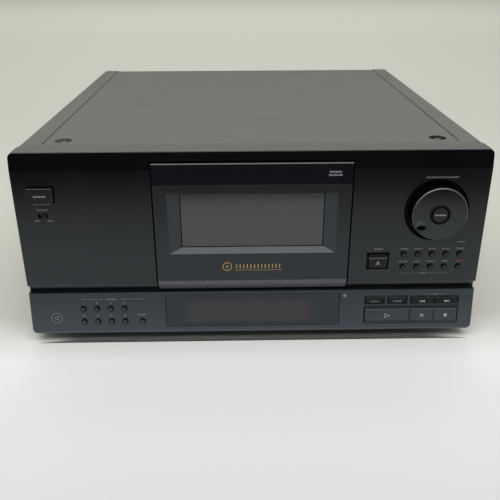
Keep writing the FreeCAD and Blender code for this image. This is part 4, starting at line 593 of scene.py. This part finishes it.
mode_rows = [(MODE_X + KEY_PITCH * k, MODE_HIGH + MODE_LIFT, 7.5 + (k % 2)) for k in range(5)]
mode_rows += [(MODE_X + KEY_PITCH * k, MODE_LOW + MODE_LIFT, 8.0 - (k % 2) * 1.5)
              for k in range(4)]
mode_rows += [(162.5, 69.2, 6.5), (195.0, 101.2, 7.5)]
mode_lines = [bar(140.8, 69.05, 158.4, 69.2), bar(166.6, 69.05, 185.6, 69.2)]
timer_rows = [(-190.3, 137.0, 9.5), (-196.0, 126.3, 4.5), (-184.6, 126.3, 5.0),
              (-190.3, 142.4, 15.0)]
last_mode = label(MODE_X + KEY_PITCH * 4, MODE_LOW + MODE_LIFT, 8.0, 1.1)
for name, outlines, ink in (("mode_print", labels(mode_rows, 1.1) + mode_lines, PRINT_DIM),
                            ("mode_print_red", last_mode, PRINT_RED),
                            ("dial_print", label(170.2, 164.6, 29.0, 1.5), PRINT_DIM),
                            ("eject_print", label(118.2, 94.7, 9.0, 1.2), PRINT_DIM),
                            ("timer_print", labels(timer_rows, 1.1), PRINT_DIM)):
    printed(name, outlines, upper, "cabinet", ink)

x, z = middle("power_button")
printed("power_print", label(x, z - 0.2, 11.0, 1.4), front_of("power_button"), "power_button",
        PRINT)
printed("enter_print", label(DIAL_X, DIAL_Z, 10.5, 1.4), front_of("enter_button"), "enter_button",
        PRINT, rise=0.02)
printed("strip_print", labels([(74.0, 170.6, 11.5), (74.2, 167.6, 12.5)], 1.7), upper, "door",
        PRINT)

x, z = middle("eject_button")
z -= 1.9
eject_symbol = [[(x - 2.0, z), (x + 2.0, z), (x, z + 2.3)], bar(x - 2.0, z - 1.3, x + 2.0, z - 0.7)]
printed("eject_symbol", eject_symbol, front_of("eject_button"), "eject_button", PRINT_DIM)

PLAY_X, PAUSE_X, STOP_X = 131.3, 165.3, 188.5
PLAY_Z, SKIP_Z, SMALL_PRINT_Z = 25.0, 39.6, 40.0
triangle = [(PLAY_X - 2.4, PLAY_Z - 1.9), (PLAY_X + 2.6, PLAY_Z), (PLAY_X - 2.4, PLAY_Z + 1.9)]
strokes = [bar(PAUSE_X - 1.4, PLAY_Z - 1.5, PAUSE_X - 0.4, PLAY_Z + 1.5),
           bar(PAUSE_X + 0.4, PLAY_Z - 1.5, PAUSE_X + 1.4, PLAY_Z + 1.5)]
square = bar(STOP_X - 1.4, PLAY_Z - 1.4, STOP_X + 1.4, PLAY_Z + 1.4)
for name, outlines in (("play", outline_of(triangle, 0.4)), ("pause", strokes),
                       ("stop", [square])):
    printed(f"{name}_symbol", outlines, lower(KEY_PROUD), f"{name}_key", PRINT)
for name, side, x in (("skip_back", -1, PAUSE_X), ("skip_forward", 1, STOP_X)):
    arrows = [[(x + side * (step - 2.2), SKIP_Z - 1.2), (x + side * (step + 0.1), SKIP_Z),
               (x + side * (step - 2.2), SKIP_Z + 1.2)][::side] for step in (0, 2.3)]
    left, right = sorted((x + side * 2.5, x + side * 2.9))
    arrows.append(bar(left, SKIP_Z - 1.2, right, SKIP_Z + 1.2))
    printed(f"{name}_symbol", arrows, lower(KEY_PROUD), f"{name}_key", PRINT)
for name, width in (("time", 7.5), ("repeat", 8.5)):
    x = middle(f"{name}_key")[0]
    printed(f"{name}_print", label(x, SMALL_PRINT_Z, width, 1.2), lower(KEY_PROUD), f"{name}_key",
            PRINT_DIM)

ornament = ring(-24.0, 78.2, 4.4, 3.8) + ring(-24.0, 78.2, 1.3, 0.8)
ornament += [bar(-15.6 + 3.4 * k, 76.2, -14.8 + 3.4 * k, 80.4) for k in range(13)]
ornament.append(bar(-16.5, 74.2, 28.0, 74.5))
printed("door_ornament", ornament, upper, "door", PRINT_GOLD)


# ---------------------------------------------------------------- lenses, painted shade lines and trim

SENSOR = (89.3, 45.8)
sensor = [square_loop(*SENSOR, side, 0.4, rise)
          for side, rise in ((3.2, -0.55), (3.2, -0.1), (2.9, 0.05))]
sweep("sensor_lens", sensor, lower(), "cabinet", LENS)
LAMP_Z = 27.3
for name, x in (("play", 114.0), ("pause", 158.4)):
    rings = [round_loop(x, LAMP_Z, radius, rise)
             for radius, rise in ((0.75, -0.05), (0.7, 0.15), (0.4, 0.28))]
    sweep(f"{name}_lamp", rings, lower(KEY_PROUD), f"{name}_key", LAMP)

# Painted shade lines round openings, from corner to corner, each with the widths of its left,
# right, top and lower edge.
edges = frame_lines(109.0, 17.3, 200.2, 33.0, 0.8, 0.6, 1.1, 0.8)
for x0, x1 in ((109.0, 127.8), (131.2, 150.0), (153.6, 200.2)):
    edges += frame_lines(x0, 35.3, x1, 44.8, 0.5, 0.5, 0.5, 0.5)
display = frame_lines(-83.9, 16.35, 83.9, 48.4, 0.5, 0.6, 0.3, 0.5)
pane = frame_lines(-65.8, 96.8, 65.8, 148.6, 0.7, 0.7, 0.4, 0.7)
printed("key_shade_lines", edges, lower(), "cabinet", SHADE_LINE, rise=0.03)
printed("display_shade_lines", display, lower(), "cabinet", SHADE_LINE, rise=0.03)
printed("pane_shade_lines", pane, front_of("door_window"), "door", SHADE_LINE, rise=0.03)
# A ring of painted shade round the enter key, on the dial.
printed("enter_shade_ring", ring(DIAL_X, DIAL_Z, 9.3, 7.95, 48), front_of("jog_dial"), "jog_dial", SHADE_LINE,
        rise=0.04)
printed("key_rib", [bar(153.3, 17.0, 153.8, 33.3)], lower(), "cabinet", SLOTS["key_plastic"],
        rise=0.5)

# A black ring of painted shade lines the dial's well.
well = [round_loop(DIAL_X, DIAL_Z, radius, rise, 64)
        for radius, rise in ((29.5, -3.4), (29.5, -3.1), (29.2, -2.9), (25.9, -2.9),
                             (25.6, -3.1), (25.6, -3.4))]
sweep("dial_well_shade", well, upper, "cabinet", SHADE_LINE, closed=False)


# ---------------------------------------------------------------- floor, light and camera
# Lengths are in metres from here on, apart from the camera's lens and sensor.


def sheet(name, corners, material):
    """One flat face of the stage."""
    mesh = bpy.data.meshes.new(name)
    mesh.from_pydata(corners, [], [tuple(range(len(corners)))])
    piece = bpy.data.objects.new(name, mesh)
    bpy.context.collection.objects.link(piece)
    mesh.materials.append(material)
    return piece


def lamp(name, place, target, width, height, power):
    """A soft lamp that faces its target, with its power in watts."""
    light = bpy.data.lights.new(name, "AREA")
    light.shape = "RECTANGLE"
    light.size, light.size_y, light.energy = width, height, power
    obj = bpy.data.objects.new(name, light)
    obj.location = place
    obj.rotation_euler = (Vector(target) - Vector(place)).to_track_quat("-Z", "Y").to_euler()
    bpy.context.collection.objects.link(obj)


# The floor is a little greyer in front of the changer than behind it, and painted light brightens
# it towards the changer's front, to lift the shade the changer casts there.
FLOOR_HALF = 6
floor_paint, tree, surface = fresh("floor_paint")
along = coordinate(tree, "Y")
near_painted_light = blend(tree, spread(tree, along, 0.0, 1.0, -0.5, -0.27),
                  linear(211, 212, 212), linear(244, 245, 245))
far_tone = blend(tree, spread(tree, along, 0.0, 1.0, 0.8, 3.0),
                 linear(212, 212, 202), linear(238, 238, 227))
shade = spread(tree, along, 0.0, 1.0, -0.26, -0.18)
tree.links.new(blend(tree, shade, near_painted_light, far_tone), surface.inputs["Base Color"])
surface.inputs["Roughness"].default_value = 0.9
sheet("floor", [(-FLOOR_HALF, -FLOOR_HALF, 0), (FLOOR_HALF, -FLOOR_HALF, 0),
                (FLOOR_HALF, FLOOR_HALF, 0), (-FLOOR_HALF, FLOOR_HALF, 0)], floor_paint)

# Two flags that only reflections see set the tones of the front.
flag_cloth, tree, surface = fresh("flag_cloth")
along = coordinate(tree, "Y")
cloth_tone = blend(tree, spread(tree, along, 0.0, 1.0, -0.60, -0.36),
                   linear(190, 190, 191), linear(237, 238, 238))
cloth_tone = blend(tree, spread(tree, along, 0.0, 1.0, -0.67, -0.61), linear(6, 6, 7), cloth_tone)
tree.links.new(cloth_tone, surface.inputs["Base Color"])
flags = {"flag_low": [(-3, -5.9, 0.001), (3, -5.9, 0.001), (3, -0.36, 0.001), (-3, -0.36, 0.001)],
         "flag_tall": [(-3, -3, 0), (3, -3, 0), (3, -3, 1.4), (-3, -3, 1.4)]}
for name, corners in flags.items():
    flag = sheet(name, corners, flag_cloth)
    flag.visible_camera = flag.visible_diffuse = flag.visible_shadow = False

# A card that the camera and reflections don't see deepens the shadow under the front.
gap_cloth, tree, surface = fresh("gap_cloth")
surface.inputs["Base Color"].default_value = linear(30, 31, 34)
surface.inputs["Alpha"].default_value = 0.93
foot_half, foot_y = 0.213, -0.2292
head_half, head_y, head_z = 0.175, -0.2276, 0.0094
gap = sheet("gap_card", [(-foot_half, foot_y, 0), (foot_half, foot_y, 0),
                         (head_half, head_y, head_z), (-head_half, head_y, head_z)], gap_cloth)
gap.visible_camera = gap.visible_glossy = gap.visible_transmission = False

world = bpy.data.worlds.new("room")
bpy.context.scene.world = world
world.use_nodes = True
tree = world.node_tree
up = coordinate(tree, "Z", "Generated")
sky = blend(tree, spread(tree, up, 0.0, 1.0, 0.05, 0.55), linear(70, 72, 74), linear(235, 235, 230))
tree.links.new(sky, tree.nodes["Background"].inputs["Color"])
tree.nodes["Background"].inputs["Strength"].default_value = 0.6

lamp("overhead", (0.0, -0.95, 1.7), (0, -0.2, 0), 2.4, 1.2, 24)
lamp("rear_fill", (0.0, 1.3, 1.9), (0, 0.6, 0), 2.6, 1.0, 9)
lamp("far_fill", (0.0, 3.9, 2.4), (0, 3.6, 0), 5.0, 2.0, 24)

# The camera was solved on the corners of the front and the lines of the top.
EYE = (-0.01176, -0.77013, 0.34386)
camera = bpy.data.cameras.new("camera")
camera.lens = 46.29
camera.sensor_width = 36
eye = bpy.data.objects.new("camera", camera)
bpy.context.collection.objects.link(eye)
pitch, yaw, roll = math.radians(24.427), math.radians(0.978), math.radians(-0.217)
forward = Vector((math.sin(yaw) * math.cos(pitch), math.cos(yaw) * math.cos(pitch),
                  -math.sin(pitch)))
right = Vector((math.cos(yaw), -math.sin(yaw), 0))
top = right.cross(forward)
right, top = (right * math.cos(roll) + top * math.sin(roll),
              top * math.cos(roll) - right * math.sin(roll))
eye.matrix_world = Matrix((right, top, -forward)).transposed().to_4x4()
eye.location = EYE
bpy.context.scene.camera = eye
bpy.context.scene.view_settings.view_transform = "Standard"
